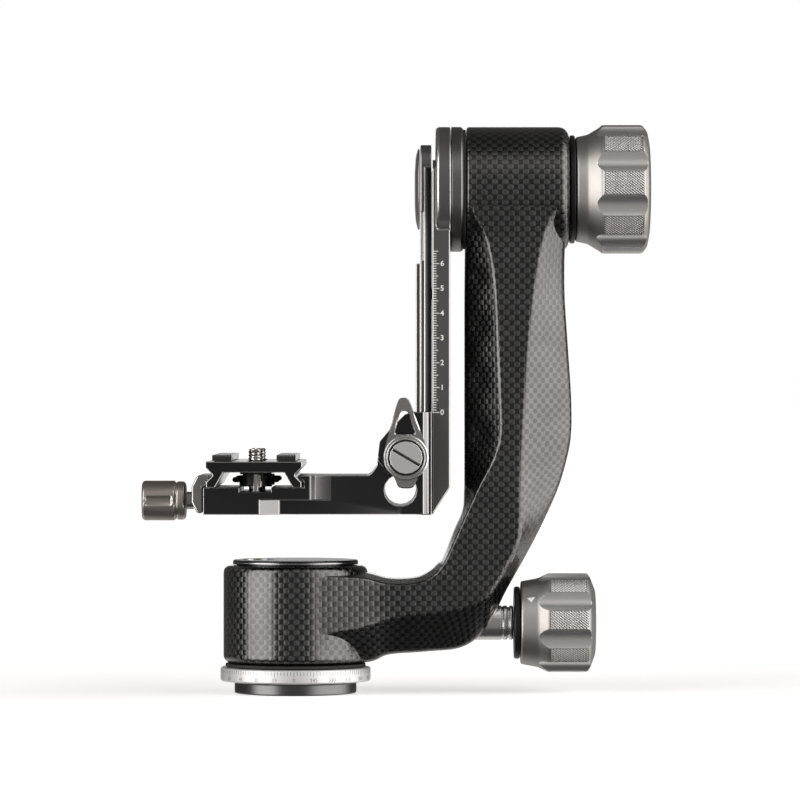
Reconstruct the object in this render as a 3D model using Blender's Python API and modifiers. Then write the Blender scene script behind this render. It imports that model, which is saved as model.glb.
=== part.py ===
"""Gimbal tripod head: a carbon arm turns on a pan base, and a cradle hangs from the tilt axis at its top.

Metres, +Z up. The origin is on the pan axis at the underside of the foot. +X points from the pan axis to the
arm and its lock knobs, and the lens plate's dovetail runs along Y.
"""

from math import atan2, cos, pi, radians, sin, tan

import bmesh
import bpy
from mathutils import Vector

# Clearances and mesh density
GAP = 0.0003
OVERRUN = 0.003
MERGE_DISTANCE = 0.00001
CORNER_STEPS = 4
LARGE_STEPS = 36
MIDDLE_STEPS = 24
SMALL_STEPS = 16
PIN_STEPS = 12
NUT_SIDES = 6
BALL_SEGMENTS = 6
BALL_RINGS = 4
SHARP_ANGLE = radians(32)
FLAT_ANGLE = radians(0.05)

# Driving sizes of the whole head
TILT_Z = 0.2048
PAN_LOCK_Z = 0.0285
TILT_HUB_LEFT_X = 0.0694
TILT_HUB_LENGTH = 0.0418
CRADLE_REACH = 0.0708
CRADLE_BOTTOM_Z = 0.0731

# Foot, thread insert and graduated ring
FOOT_R = 0.0248
FOOT_H = 0.0047
FOOT_EDGE = 0.0004
INSERT_R = 0.0070
INSERT_BORE_R = 0.0048
INSERT_H = 0.0120
RING_R = 0.0305
RING_H = 0.0056
RING_EDGE = 0.0005

# Pan spindle and its nut
SPINDLE_FLANGE_R = 0.0160
SPINDLE_SHOULDER_R = 0.0138
SPINDLE_SHOULDER_H = 0.0024
SPINDLE_R = 0.0120
SPINDLE_TOP_R = 0.0090
PAN_NUT_R = 0.0160
PAN_NUT_H = 0.0057

# Pan hub of the arm, its seal, sleeve and bearings
SEAL_R = 0.0285
SEAL_BORE_R = 0.0170
SEAL_H = 0.0012
PAN_HUB_R = 0.0294
PAN_HUB_H = 0.0397
PAN_HUB_EDGE = 0.0016
PAN_HUB_WALL = 0.0054
SLEEVE_FLOOR = 0.0006
SLEEVE_H = 0.0360
SLEEVE_WALL = 0.0034
SLEEVE_LEDGE = 0.0017
PAN_BEARING_H = 0.0082
PAN_RACE_T = 0.0020
PAN_BALL_R = 0.0017
PAN_BALL_COUNT = 9
PAN_BUSH_WALL = 0.0022
PAN_BUSH_H = 0.0080

# Top cap with the bubble level
CAP_R = 0.0255
CAP_H = 0.0018
CAP_EDGE = 0.0006
CAP_SPIGOT_H = 0.0019
LEVEL_X = -0.0153
LEVEL_CUP_R = 0.0060
LEVEL_CUP_H = 0.0026
LEVEL_LENS_R = 0.0047
LEVEL_LENS_H = 0.0020
LEVEL_DEPTH = 0.0026

# Tilt hub of the arm, its sleeve and bearings
TILT_HUB_R = 0.0254
TILT_HUB_EDGE = 0.0018
TILT_HUB_WALL = 0.0051
TILT_SLEEVE_INSET = 0.0006
TILT_SLEEVE_WALL = 0.0027
TILT_SLEEVE_LEDGE_R = 0.0125
TILT_RACE_T = 0.0019
TILT_BEARING_L = 0.0074
TILT_BALL_R = 0.0016
TILT_BALL_COUNT = 8
TILT_BUSH_WALL = 0.0044
TILT_BUSH_L = 0.0080
END_RING_R = 0.0220
END_RING_T = 0.0020

# Tilt spindle, flange and swing plate
TILT_SPINDLE_R = 0.0090
TILT_THREAD_R = 0.0060
TILT_THREAD_L = 0.0245
TILT_HEAD_R = 0.0120
TILT_HEAD_T = 0.0027
FLANGE_GAP = 0.0012
FLANGE_R = 0.0254
FLANGE_T = 0.0049
FLANGE_EDGE = 0.0009
FLANGE_BOSS_R = 0.0110
DISC_T = 0.0060
PLATE_STEP = 0.0003
PLATE_T = 0.0072
PLATE_HALF = 0.0190
PLATE_DROP = 0.0004
PLATE_ABOVE_AXIS = 0.0082
PLATE_CHAMFER_H = 0.0112

# Slide rail on the swing plate
RAIL_T = 0.0044
RAIL_WING_T = 0.0016
RAIL_ABOVE_AXIS = 0.0175
RAIL_TOP_CORNER = 0.0080
STRIP_T = 0.0018
STRIP_HALF = 0.0115
STRIP_BELOW_AXIS = 0.0305
POCKET_DEPTH = 0.0012
POCKET_REACH = 0.0040
POCKET_H = 0.0197
AXIS_CAP_R = 0.0165
AXIS_CAP_T = 0.0020
AXIS_CAP_CROWN_R = 0.0130
RAIL_SCREW_R = 0.0040
RAIL_SCREW_SHANK_R = 0.0022
RAIL_SCREW_HEAD_T = 0.0024
RAIL_SCREW_INSET = 0.0120
RAIL_SCREW_SOCKET_R = 0.0015
RAIL_SCREW_SOCKET_DEPTH = 0.0014

# Tilt lock knob, its bush and washer
TILT_KNOB_GAP = 0.0003
TILT_KNOB_L = 0.0303
TILT_KNOB_NECK_R = 0.0212
TILT_KNOB_FLARE_R = 0.0251
TILT_KNOB_WAIST_R = 0.0222
TILT_KNOB_R = 0.0262
TILT_KNOB_FACE_R = 0.0215
TILT_KNOB_NECK_L = 0.0097
TILT_KNOB_GRIP_L = 0.0154
TILT_KNOB_CHAMFER = 0.0036
TILT_KNOB_RECESS_R = 0.0183
TILT_KNOB_SCALLOPS = 9
TILT_SCALLOP_R = 0.0070
TILT_SCALLOP_DEPTH = 0.0020
TILT_SCALLOP_TURN = radians(23.7)
LOCK_BUSH_R = 0.0100
LOCK_BUSH_L = 0.0185
TILT_WASHER_T = 0.0027

# Pan lock: barrel, knob, boss, rod and brake shoe
BARREL_R = 0.0070
BARREL_BORE_R = 0.0043
BARREL_START_X = 0.0620
BARREL_END_X = 0.0885
BARREL_EDGE = 0.0005
BOSS_R = 0.0147
BOSS_T = 0.0024
PAN_KNOB_L = 0.0304
PAN_KNOB_NECK_R = 0.0168
PAN_KNOB_FLARE_R = 0.0181
PAN_KNOB_R = 0.0201
PAN_KNOB_FACE_R = 0.0129
PAN_KNOB_NECK_L = 0.0071
PAN_KNOB_FLARE_L = 0.0042
PAN_KNOB_GRIP_L = 0.0158
PAN_KNOB_CHAMFER = 0.0016
PAN_KNOB_CHAMFER_L = 0.0012
PAN_KNOB_SCALLOPS = 8
PAN_SCALLOP_R = 0.0067
PAN_SCALLOP_DEPTH = 0.0019
PAN_SCALLOP_TURN = radians(28.3)
ROD_R = 0.0040
ROD_END_DEPTH = 0.0264
SHOE_R = 0.0050
SHOE_L = 0.0067

# Arm blade between the two hubs
ARM_CORNER = 0.0026
ARM_SUBSTEPS = 2
ARM_CORNER_SHARE = 0.4

# Cradle: bar, block, gusset and clamp bed
CRADLE_WALL = 0.0060
BAR_H = 0.0157
BLOCK_H = 0.0412
JAW_SEAM = 0.0010
BLOCK_CHAMFER = 0.0019
BLOCK_EDGE_SET = 0.0014
GUSSET_W = 0.0241
GUSSET_RUN = 0.0072
HOLE_R = 0.00645
HOLE_BACK = 0.0125
HOLE_RISE = 0.0097
BED_OVERHANG = 0.0050
BED_LEFT = 0.0209
BED_RIGHT = 0.0224
BED_FLOOR_H = 0.0109
BED_STEP_H = 0.0059
BED_LOWER_RIGHT = 0.0016
BED_ARC = 0.0080
BED_EDGE = 0.0015
RELIEF_HALF = 0.0063
RELIEF_DEPTH = 0.0018

# Rail clamp: screw, lever, washer, nut and guide pins
CLAMP_BACK = 0.0103
CLAMP_RISE = 0.0229
CLAMP_SHANK_R = 0.0025
CLAMP_HEAD_R = 0.0066
CLAMP_HEAD_T = 0.0018
CLAMP_SLOT_W = 0.0011
CLAMP_SLOT_DEPTH = 0.0008
CLAMP_SLOT_TURN = radians(30.7)
LEVER_RING_R = 0.0086
LEVER_RING_T = 0.0045
LEVER_BLADE_T = 0.0030
LEVER_TALL = 0.0240
LEVER_WASHER_R = 0.0078
LEVER_WASHER_T = 0.0012
NUT_R = 0.0045
NUT_T = 0.0030
PIN_R = 0.0015
PIN_L = 0.0090
PIN_BACK = 0.0157
PIN_RISE = 0.0065
PIN_DROP = 0.0030

# Plate clamp: jaw, screw, knob and guide pins
PLATE_JAW_T = 0.0044
PLATE_JAW_INSET = 0.0020
PLATE_JAW_H = 0.0152
PLATE_JAW_RISE = 0.0005
PLATE_JAW_EDGE = 0.0022
PLATE_SCREW_R = 0.0025
PLATE_SCREW_RISE = 0.0051
PLATE_SCREW_DEPTH = 0.0200
PLATE_NECK_R = 0.0036
PLATE_KNOB_R = 0.0081
PLATE_KNOB_L = 0.0179
PLATE_KNOB_COLLAR_L = 0.0040
PLATE_KNOB_COLLAR_R = 0.0078
PLATE_KNOB_NECK = 0.0033
PLATE_KNOB_EDGE = 0.0009
PLATE_KNOB_GROOVE = 0.0006
PLATE_KNOB_SCALLOPS = 3
PLATE_SCALLOP_R = 0.0040
PLATE_SCALLOP_DEPTH = 0.0010
JAW_PIN_R = 0.0020
JAW_PIN_L = 0.0110
JAW_PIN_INSET = 0.0100

# Lens plate, pads, camera screws, washers and folded rings
LENS_HALF_L = 0.0500
LENS_TOP_HALF = 0.0192
LENS_WAIST_HALF = 0.0164
LENS_FOOT_HALF = 0.0189
LENS_H = 0.0103
LENS_EDGE_H = 0.0022
LENS_FOOT_H = 0.0021
LENS_WAIST_RISE = 0.0046
LENS_WAIST_H = 0.0007
ARCH_HALF = 0.0121
ARCH_FOOT_HALF = 0.0155
ARCH_H = 0.0060
SLOT_HALF = 0.0035
SLOT_END_SHARE = 0.99
SLOT_INSET = 0.0140
PAD_IN = 0.0090
PAD_OUT = 0.0166
PAD_T = 0.0023
PAD_INSET = 0.0030
STUD_R = 0.0031
STUD_TIP_RISE = 0.0151
STUD_NECK_R = 0.0026
STUD_COLLAR_R = 0.0066
STUD_COLLAR_H = 0.0036
STUD_HEAD_R = 0.0050
STUD_HEAD_H = 0.0027
STUD_EDGE = 0.0006
STUD_INSET = 0.0100
WASHER_R = 0.0064
WASHER_T = 0.0007
BAIL_R = 0.0087
BAIL_WIRE_R = 0.0009
BAIL_STEPS = 12

FINISHES = {
    "carbon": ((0.030, 0.030, 0.033), 0.18, 0.0),
    "dark anodised": ((0.035, 0.035, 0.038), 0.38, 0.6),
    "grey anodised": ((0.110, 0.110, 0.115), 0.40, 0.8),
    "satin silver": ((0.720, 0.720, 0.730), 0.30, 1.0),
    "titanium": ((0.420, 0.400, 0.380), 0.32, 1.0),
    "steel": ((0.560, 0.560, 0.570), 0.25, 1.0),
    "brass": ((0.620, 0.450, 0.190), 0.30, 1.0),
    "black rubber": ((0.030, 0.030, 0.030), 0.85, 0.0),
    "bearing polymer": ((0.650, 0.620, 0.540), 0.60, 0.0),
    "clear lens": ((0.550, 0.700, 0.350), 0.10, 0.0),
}

# Pan axis, heights from the underside of the foot
RING_Z = FOOT_H + GAP
RING_TOP_Z = RING_Z + RING_H
SEAL_Z = RING_TOP_Z + GAP
PAN_HUB_Z = SEAL_Z + SEAL_H + GAP
PAN_HUB_TOP_Z = PAN_HUB_Z + PAN_HUB_H
PAN_BORE_R = PAN_HUB_R - PAN_HUB_WALL
SLEEVE_R = PAN_BORE_R - GAP
SLEEVE_Z = PAN_HUB_Z + SLEEVE_FLOOR
SLEEVE_TOP_Z = SLEEVE_Z + SLEEVE_H
SHOULDER_Z = RING_TOP_Z + SPINDLE_SHOULDER_H
PAN_BEARING_Z = SHOULDER_Z + GAP
PAN_BEARING_TOP_Z = PAN_BEARING_Z + PAN_BEARING_H
PAN_INNER_RACE_R = SPINDLE_R + GAP + PAN_RACE_T
PAN_OUTER_BORE_R = PAN_INNER_RACE_R + 2 * PAN_BALL_R + 2 * GAP
PAN_OUTER_RACE_R = SLEEVE_R - SLEEVE_WALL - GAP
PAN_BUSH_R = SPINDLE_R + GAP + PAN_BUSH_WALL
PAN_NUT_Z = SLEEVE_TOP_Z - PAN_NUT_H + SPINDLE_SHOULDER_H / 2
SPINDLE_TOP_Z = PAN_NUT_Z + PAN_NUT_H
PAN_BUSH_TOP_Z = PAN_NUT_Z - GAP
PAN_BUSH_Z = PAN_BUSH_TOP_Z - PAN_BUSH_H
CAP_Z = PAN_HUB_TOP_Z + GAP
CAP_TOP_Z = CAP_Z + CAP_H
LEVEL_FLOOR_Z = CAP_TOP_Z - LEVEL_DEPTH
LEVEL_CUP_Z = LEVEL_FLOOR_Z + GAP
LEVEL_CUP_TOP_Z = LEVEL_CUP_Z + LEVEL_CUP_H
LEVEL_LENS_Z = LEVEL_CUP_TOP_Z - LEVEL_LENS_H + GAP

# Tilt axis, distances from the pan axis
TILT_HUB_RIGHT_X = TILT_HUB_LEFT_X + TILT_HUB_LENGTH
TILT_BORE_R = TILT_HUB_R - TILT_HUB_WALL
TILT_SLEEVE_R = TILT_BORE_R - GAP
TILT_SLEEVE_X = TILT_HUB_LEFT_X + TILT_SLEEVE_INSET
TILT_SLEEVE_RIGHT_X = TILT_HUB_RIGHT_X - TILT_SLEEVE_INSET
TILT_BEARING_X = TILT_SLEEVE_X + GAP
TILT_BEARING_RIGHT_X = TILT_BEARING_X + TILT_BEARING_L
TILT_INNER_RACE_R = TILT_SPINDLE_R + GAP + TILT_RACE_T
TILT_OUTER_BORE_R = TILT_INNER_RACE_R + 2 * TILT_BALL_R + 2 * GAP
TILT_OUTER_RACE_R = TILT_SLEEVE_R - TILT_SLEEVE_WALL - GAP
TILT_BUSH_R = TILT_SPINDLE_R + GAP + TILT_BUSH_WALL
TILT_BUSH_RIGHT_X = TILT_SLEEVE_RIGHT_X - TILT_HUB_EDGE
TILT_BUSH_X = TILT_BUSH_RIGHT_X - TILT_BUSH_L
END_RING_X = TILT_HUB_RIGHT_X + GAP
END_RING_RIGHT_X = END_RING_X + END_RING_T
FLANGE_RIGHT_X = TILT_HUB_LEFT_X - FLANGE_GAP
FLANGE_X = FLANGE_RIGHT_X - FLANGE_T
DISC_RIGHT_X = FLANGE_X - GAP
DISC_X = DISC_RIGHT_X - DISC_T
PLATE_RIGHT_X = DISC_RIGHT_X - PLATE_STEP
PLATE_X = PLATE_RIGHT_X - PLATE_T
RAIL_RIGHT_X = PLATE_X - GAP
RAIL_X = RAIL_RIGHT_X - RAIL_T
STRIP_X = RAIL_X - STRIP_T
AXIS_CAP_RIGHT_X = RAIL_X - GAP
TILT_HEAD_X = PLATE_X + GAP
TILT_HEAD_RIGHT_X = TILT_HEAD_X + TILT_HEAD_T
TILT_KNOB_X = END_RING_RIGHT_X + TILT_KNOB_GAP
TILT_KNOB_RIGHT_X = TILT_KNOB_X + TILT_KNOB_L
TILT_WASHER_RIGHT_X = TILT_KNOB_X + TILT_WASHER_T
LOCK_BUSH_X = TILT_WASHER_RIGHT_X + GAP
LOCK_BUSH_RIGHT_X = LOCK_BUSH_X + LOCK_BUSH_L
TILT_THREAD_X = END_RING_RIGHT_X - GAP
TILT_SPINDLE_END_X = TILT_THREAD_X + TILT_THREAD_L

# Pan lock, distances from the pan axis
SHOE_X = SPINDLE_R + GAP
ROD_X = SHOE_X + SHOE_L + GAP
BOSS_X = BARREL_END_X + GAP
PAN_KNOB_X = BOSS_X + BOSS_T + GAP
PAN_KNOB_RIGHT_X = PAN_KNOB_X + PAN_KNOB_L
ROD_END_X = PAN_KNOB_X + ROD_END_DEPTH

# Swing plate and rail heights, from the tilt axis and the cradle
PLATE_BOTTOM_Z = CRADLE_BOTTOM_Z - PLATE_DROP
PLATE_TOP_Z = TILT_Z + PLATE_ABOVE_AXIS
RAIL_TOP_Z = TILT_Z + RAIL_ABOVE_AXIS
STRIP_TOP_Z = TILT_Z - STRIP_BELOW_AXIS

# Cradle, from the rail it clamps
CRADLE_HALF = PLATE_HALF + CRADLE_WALL
JAW_T = CRADLE_WALL - JAW_SEAM
BED_HALF = CRADLE_HALF + BED_OVERHANG
JAW_PIN_Y = BED_HALF - JAW_PIN_INSET
PLATE_JAW_HALF = BED_HALF - PLATE_JAW_INSET
STUD_Y = BED_HALF - STUD_INSET
SLOT_HALF_L = LENS_HALF_L - SLOT_INSET
PAD_HALF_L = LENS_HALF_L - PAD_INSET
BLOCK_RIGHT_X = RAIL_RIGHT_X
CHANNEL_X = STRIP_X - GAP
LENS_X = RAIL_RIGHT_X - CRADLE_REACH
BAR_TOP_Z = CRADLE_BOTTOM_Z + BAR_H
BLOCK_TOP_Z = CRADLE_BOTTOM_Z + BLOCK_H
BED_FLOOR_Z = CRADLE_BOTTOM_Z + BED_FLOOR_H
CLAMP_X = BLOCK_RIGHT_X - CLAMP_BACK
CLAMP_Z = CRADLE_BOTTOM_Z + CLAMP_RISE
HOLE_X = BLOCK_RIGHT_X - HOLE_BACK
HOLE_Z = CRADLE_BOTTOM_Z + HOLE_RISE
BLOCK_LEFT_X = BLOCK_RIGHT_X - GUSSET_W
PIN_X = BLOCK_RIGHT_X - PIN_BACK
PLATE_SCREW_Z = CRADLE_BOTTOM_Z + PLATE_SCREW_RISE
BED_X = LENS_X - BED_LEFT
BED_RIGHT_X = LENS_X + BED_RIGHT
PLATE_JAW_RIGHT_X = BED_X - GAP
PLATE_JAW_X = PLATE_JAW_RIGHT_X - PLATE_JAW_T
PLATE_KNOB_RIGHT_X = PLATE_JAW_X - PLATE_KNOB_NECK
LENS_Z = BED_FLOOR_Z + GAP
LENS_TOP_Z = LENS_Z + LENS_H
ARCH_Z = LENS_Z + ARCH_H
PAD_Z = LENS_TOP_Z + GAP
WASHER_TOP_Z = ARCH_Z - GAP
WASHER_Z = WASHER_TOP_Z - WASHER_T
STUD_COLLAR_TOP_Z = WASHER_Z - GAP
STUD_COLLAR_Z = STUD_COLLAR_TOP_Z - STUD_COLLAR_H
STUD_HEAD_Z = STUD_COLLAR_Z - STUD_HEAD_H
STUD_TIP_Z = LENS_Z + STUD_TIP_RISE

TURNS = {"X": (0, pi / 2, 0), "Y": (-pi / 2, 0, 0), "Z": (0, 0, 0)}
PLANES = {"XY": (0, 0, 0), "XZ": (pi / 2, 0, 0), "YZ": (pi / 2, 0, pi / 2)}

for old in list(bpy.data.objects):
    bpy.data.objects.remove(old, do_unlink=True)

PARTS = bpy.data.collections.new("gimbal_head")
HELPERS = bpy.data.collections.new("cutters")
bpy.context.scene.collection.children.link(PARTS)
bpy.context.scene.collection.children.link(HELPERS)
HELPERS.hide_render = True
ORIGINS = {}


def body(name, at, carrier=None):
    """An empty on a joint's axis that carries the pieces moving together."""
    empty = bpy.data.objects.new(name, None)
    PARTS.objects.link(empty)
    ORIGINS[name] = Vector(at)
    empty.parent = carrier
    empty.location = ORIGINS[name] - (ORIGINS[carrier.name] if carrier else Vector())
    return empty


def dress(obj, finish):
    """Gives the object a material of its own."""
    colour, roughness, metallic = FINISHES[finish]
    material = bpy.data.materials.new(f"{obj.name} {finish}")
    material.use_nodes = True
    shader = material.node_tree.nodes["Principled BSDF"]
    shader.inputs["Base Color"].default_value = (*colour, 1)
    shader.inputs["Roughness"].default_value = roughness
    shader.inputs["Metallic"].default_value = metallic
    obj.data.materials.append(material)


def enter(obj, carrier, at, finish=None):
    """Places the object at a world point: on its moving body, or as a helper that only cuts or joins."""
    if carrier is None:
        HELPERS.objects.link(obj)
        obj.hide_render = True
        obj.display_type = "WIRE"
        obj.location = at
    else:
        PARTS.objects.link(obj)
        obj.parent = carrier
        obj.location = Vector(at) - ORIGINS[carrier.name]
        dress(obj, finish)
    return obj


def turned(name, carrier, axis, at, profile, finish=None, steps=SMALL_STEPS):
    """A profile of (radius, distance along the axis), from the far end down the outer side, turned round."""
    mesh = bpy.data.meshes.new(name)
    count = len(profile)
    joints = [(i, i + 1) for i in range(count - 1)]
    if profile[0][0] > 0:
        joints.append((count - 1, 0))
    mesh.from_pydata([(radius, 0, along) for radius, along in profile], joints, [])
    obj = enter(bpy.data.objects.new(name, mesh), carrier, at, finish)
    obj.rotation_euler = TURNS[axis]
    screw = obj.modifiers.new("turn", "SCREW")
    screw.steps = screw.render_steps = steps
    screw.use_merge_vertices = True
    screw.merge_threshold = MERGE_DISTANCE
    return obj


def rod(radius, low, high, edge=0.0):
    """Profile of a solid bar, with its two rims broken by an edge chamfer."""
    rims = [(radius, high), (radius, low)]
    if edge:
        rims = [(radius - edge, high), (radius, high - edge), (radius, low + edge), (radius - edge, low)]
    return [(0, high), *rims, (0, low)]


def tube(radius, bore, low, high, edge=0.0):
    """Profile of a tube, with its outer rims broken by an edge chamfer."""
    return [*rod(radius, low, high, edge)[1:-1], (bore, low), (bore, high)]


def stepped(wide_r, thin_r, start, step, end):
    """Profile of a headed bar: wide from start to step, and thin from there on."""
    return [(0, end), (thin_r, end), (thin_r, step), (wide_r, step), (wide_r, start), (0, start)]


def rounded(outline):
    """The outline with each (x, y, radius) corner replaced by an arc of that radius."""
    points = []
    for i, corner in enumerate(outline):
        here = Vector(corner[:2])
        if len(corner) == 2:
            points.append(here)
            continue
        before = (Vector(outline[i - 1][:2]) - here).normalized()
        after = (Vector(outline[(i + 1) % len(outline)][:2]) - here).normalized()
        half = before.angle(after) / 2
        centre = here + (before + after).normalized() * (corner[2] / sin(half))
        start = here + before * (corner[2] / tan(half)) - centre
        sweep = (here + after * (corner[2] / tan(half)) - centre).angle_signed(start)
        angle = atan2(start.y, start.x)
        for step in range(CORNER_STEPS + 1):
            turn = angle + sweep * step / CORNER_STEPS
            points.append(centre + Vector((cos(turn), sin(turn))) * corner[2])
    return points


def circle(x, y, radius, count=SMALL_STEPS):
    """Corner points of a round or many-sided outline."""
    turns = [2 * pi * i / count for i in range(count)]
    return [(x + radius * cos(turn), y + radius * sin(turn)) for turn in turns]


def meshed(curve):
    """The curve's solid as a mesh with its caps welded on."""
    drawn = bpy.data.objects.new(curve.name, curve)
    HELPERS.objects.link(drawn)
    graph = bpy.context.evaluated_depsgraph_get()
    mesh = bpy.data.meshes.new_from_object(drawn.evaluated_get(graph))
    bpy.data.objects.remove(drawn, do_unlink=True)
    welded = bmesh.new()
    welded.from_mesh(mesh)
    bmesh.ops.remove_doubles(welded, verts=welded.verts, dist=MERGE_DISTANCE)
    bmesh.ops.recalc_face_normals(welded, faces=welded.faces)
    welded.to_mesh(mesh)
    welded.free()
    return mesh


def slab(name, carrier, plane, outlines, low, high, finish=None):
    """Flat outlines, the first the edge and the others holes, with their thickness from low to high."""
    curve = bpy.data.curves.new(name, "CURVE")
    curve.dimensions = "2D"
    curve.fill_mode = "BOTH"
    curve.extrude = (high - low) / 2
    for outline in outlines:
        points = rounded(outline)
        spline = curve.splines.new("POLY")
        spline.points.add(len(points) - 1)
        spline.use_cyclic_u = True
        for point, place in zip(spline.points, points):
            point.co = (*place, 0, 1)
    mesh = meshed(curve)
    middle = (low + high) / 2
    at = {"XY": (0, 0, middle), "XZ": (0, middle, 0), "YZ": (middle, 0, 0)}[plane]
    obj = enter(bpy.data.objects.new(name, mesh), carrier, at, finish)
    obj.rotation_euler = PLANES[plane]
    return obj


def block(name, carrier, low, high, finish=None):
    """A box between two corners."""
    mesh = bpy.data.meshes.new(name)
    cube = bmesh.new()
    bmesh.ops.create_cube(cube, size=1)
    bmesh.ops.scale(cube, vec=Vector(high) - Vector(low), verts=cube.verts)
    cube.to_mesh(mesh)
    cube.free()
    return enter(bpy.data.objects.new(name, mesh), carrier, (Vector(low) + Vector(high)) / 2, finish)


def combine(target, other, operation):
    modifier = target.modifiers.new(other.name, "BOOLEAN")
    modifier.operation = operation
    modifier.solver = "EXACT"
    modifier.object = other


def cut(target, *cutters):
    for cutter in cutters:
        combine(target, cutter, "DIFFERENCE")


def join(target, *others):
    for other in others:
        combine(target, other, "UNION")


def scallops(knob, centre, count, first_turn, reach, profile):
    """Cuts finger scallops along a knob on X. Each is a straight bar's, so the knob's flare points its end."""
    for i in range(count):
        turn = first_turn + 2 * pi * i / count
        at = centre + Vector((0, -cos(turn), sin(turn))) * reach
        cut(knob, turned(f"{knob.name} scallop {i + 1}", None, "X", at, profile))


def ball_cage(name, carrier, axis, at, pitch_r, ball_r, middle, count):
    """Balls set in a thin cage ring."""
    half = ball_r / 2
    ring_half = ball_r / 3
    ring = tube(pitch_r + ring_half, pitch_r - ring_half, middle - half, middle + half)
    cage = turned(name, carrier, axis, at, ring, "steel")
    mesh = bpy.data.meshes.new(name + " balls")
    balls = bmesh.new()
    grid = {"u_segments": BALL_SEGMENTS, "v_segments": BALL_RINGS}
    for i in range(count):
        ball = bmesh.ops.create_uvsphere(balls, radius=ball_r, **grid)["verts"]
        turn = 2 * pi * i / count
        bmesh.ops.translate(balls, verts=ball, vec=(pitch_r * cos(turn), pitch_r * sin(turn), middle))
    balls.to_mesh(mesh)
    balls.free()
    helper = enter(bpy.data.objects.new(name + " balls", mesh), None, at)
    helper.rotation_euler = TURNS[axis]
    join(cage, helper)


def socket_screw(name, carrier, at, length):
    """A flush socket screw along X, with its head to the left at the given point."""
    shape = stepped(RAIL_SCREW_R, RAIL_SCREW_SHANK_R, 0, RAIL_SCREW_HEAD_T, length)
    screw = turned(name, carrier, "X", at, shape, "steel")
    socket = rod(RAIL_SCREW_SOCKET_R, -OVERRUN, RAIL_SCREW_SOCKET_DEPTH)
    cut(screw, turned(name + " socket", None, "X", at, socket, steps=NUT_SIDES))


def settle():
    """Bakes the modifiers, drops edges inside flat faces, and shades the round stretches smooth."""
    graph = bpy.context.evaluated_depsgraph_get()
    solids = [obj for obj in PARTS.objects if obj.type != "EMPTY"]
    baked = [bpy.data.meshes.new_from_object(obj.evaluated_get(graph)) for obj in solids]
    for obj, mesh in zip(solids, baked):
        clean = bmesh.new()
        clean.from_mesh(mesh)
        bmesh.ops.remove_doubles(clean, verts=clean.verts, dist=MERGE_DISTANCE / 10)
        bmesh.ops.dissolve_degenerate(clean, dist=MERGE_DISTANCE / 10, edges=clean.edges)
        bmesh.ops.dissolve_limit(clean, angle_limit=FLAT_ANGLE, verts=clean.verts, edges=clean.edges)
        bmesh.ops.triangulate(clean, faces=clean.faces)
        clean.to_mesh(mesh)
        clean.free()
        mesh.shade_smooth()
        mesh.set_sharp_from_angle(angle=SHARP_ANGLE)
        obj.modifiers.clear()
        obj.data = mesh


PAN_AXIS = Vector((0, 0, 0))
TILT_AXIS = Vector((0, 0, TILT_Z))
PAN_LOCK_AXIS = Vector((0, 0, PAN_LOCK_Z))
PLATE_SCREW_AXIS = Vector((0, 0, PLATE_SCREW_Z))
CLAMP_AXIS = Vector((CLAMP_X, 0, CLAMP_Z))

base = body("base", PAN_AXIS)
arm = body("arm", PAN_AXIS, base)
pan_brake = body("pan_brake", (SHOE_X, 0, PAN_LOCK_Z), arm)
pan_knob = body("pan_knob", (PAN_KNOB_X, 0, PAN_LOCK_Z), pan_brake)
swing = body("swing", (FLANGE_X, 0, TILT_Z), arm)
tilt_brake = body("tilt_brake", (TILT_KNOB_X, 0, TILT_Z), swing)
tilt_knob = body("tilt_knob", (TILT_KNOB_X, 0, TILT_Z), tilt_brake)
cradle = body("cradle", (RAIL_X, 0, CRADLE_BOTTOM_Z), swing)
rail_jaw_body = body("rail_clamp", CLAMP_AXIS, cradle)
lever_body = body("clamp_lever", CLAMP_AXIS, rail_jaw_body)
plate_jaw_body = body("plate_clamp", (PLATE_JAW_X, 0, PLATE_SCREW_Z), cradle)
plate_knob_body = body("clamp_knob", (PLATE_JAW_X, 0, PLATE_SCREW_Z), plate_jaw_body)
lens_plate_body = body("plate", (LENS_X, 0, LENS_Z), cradle)


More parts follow.
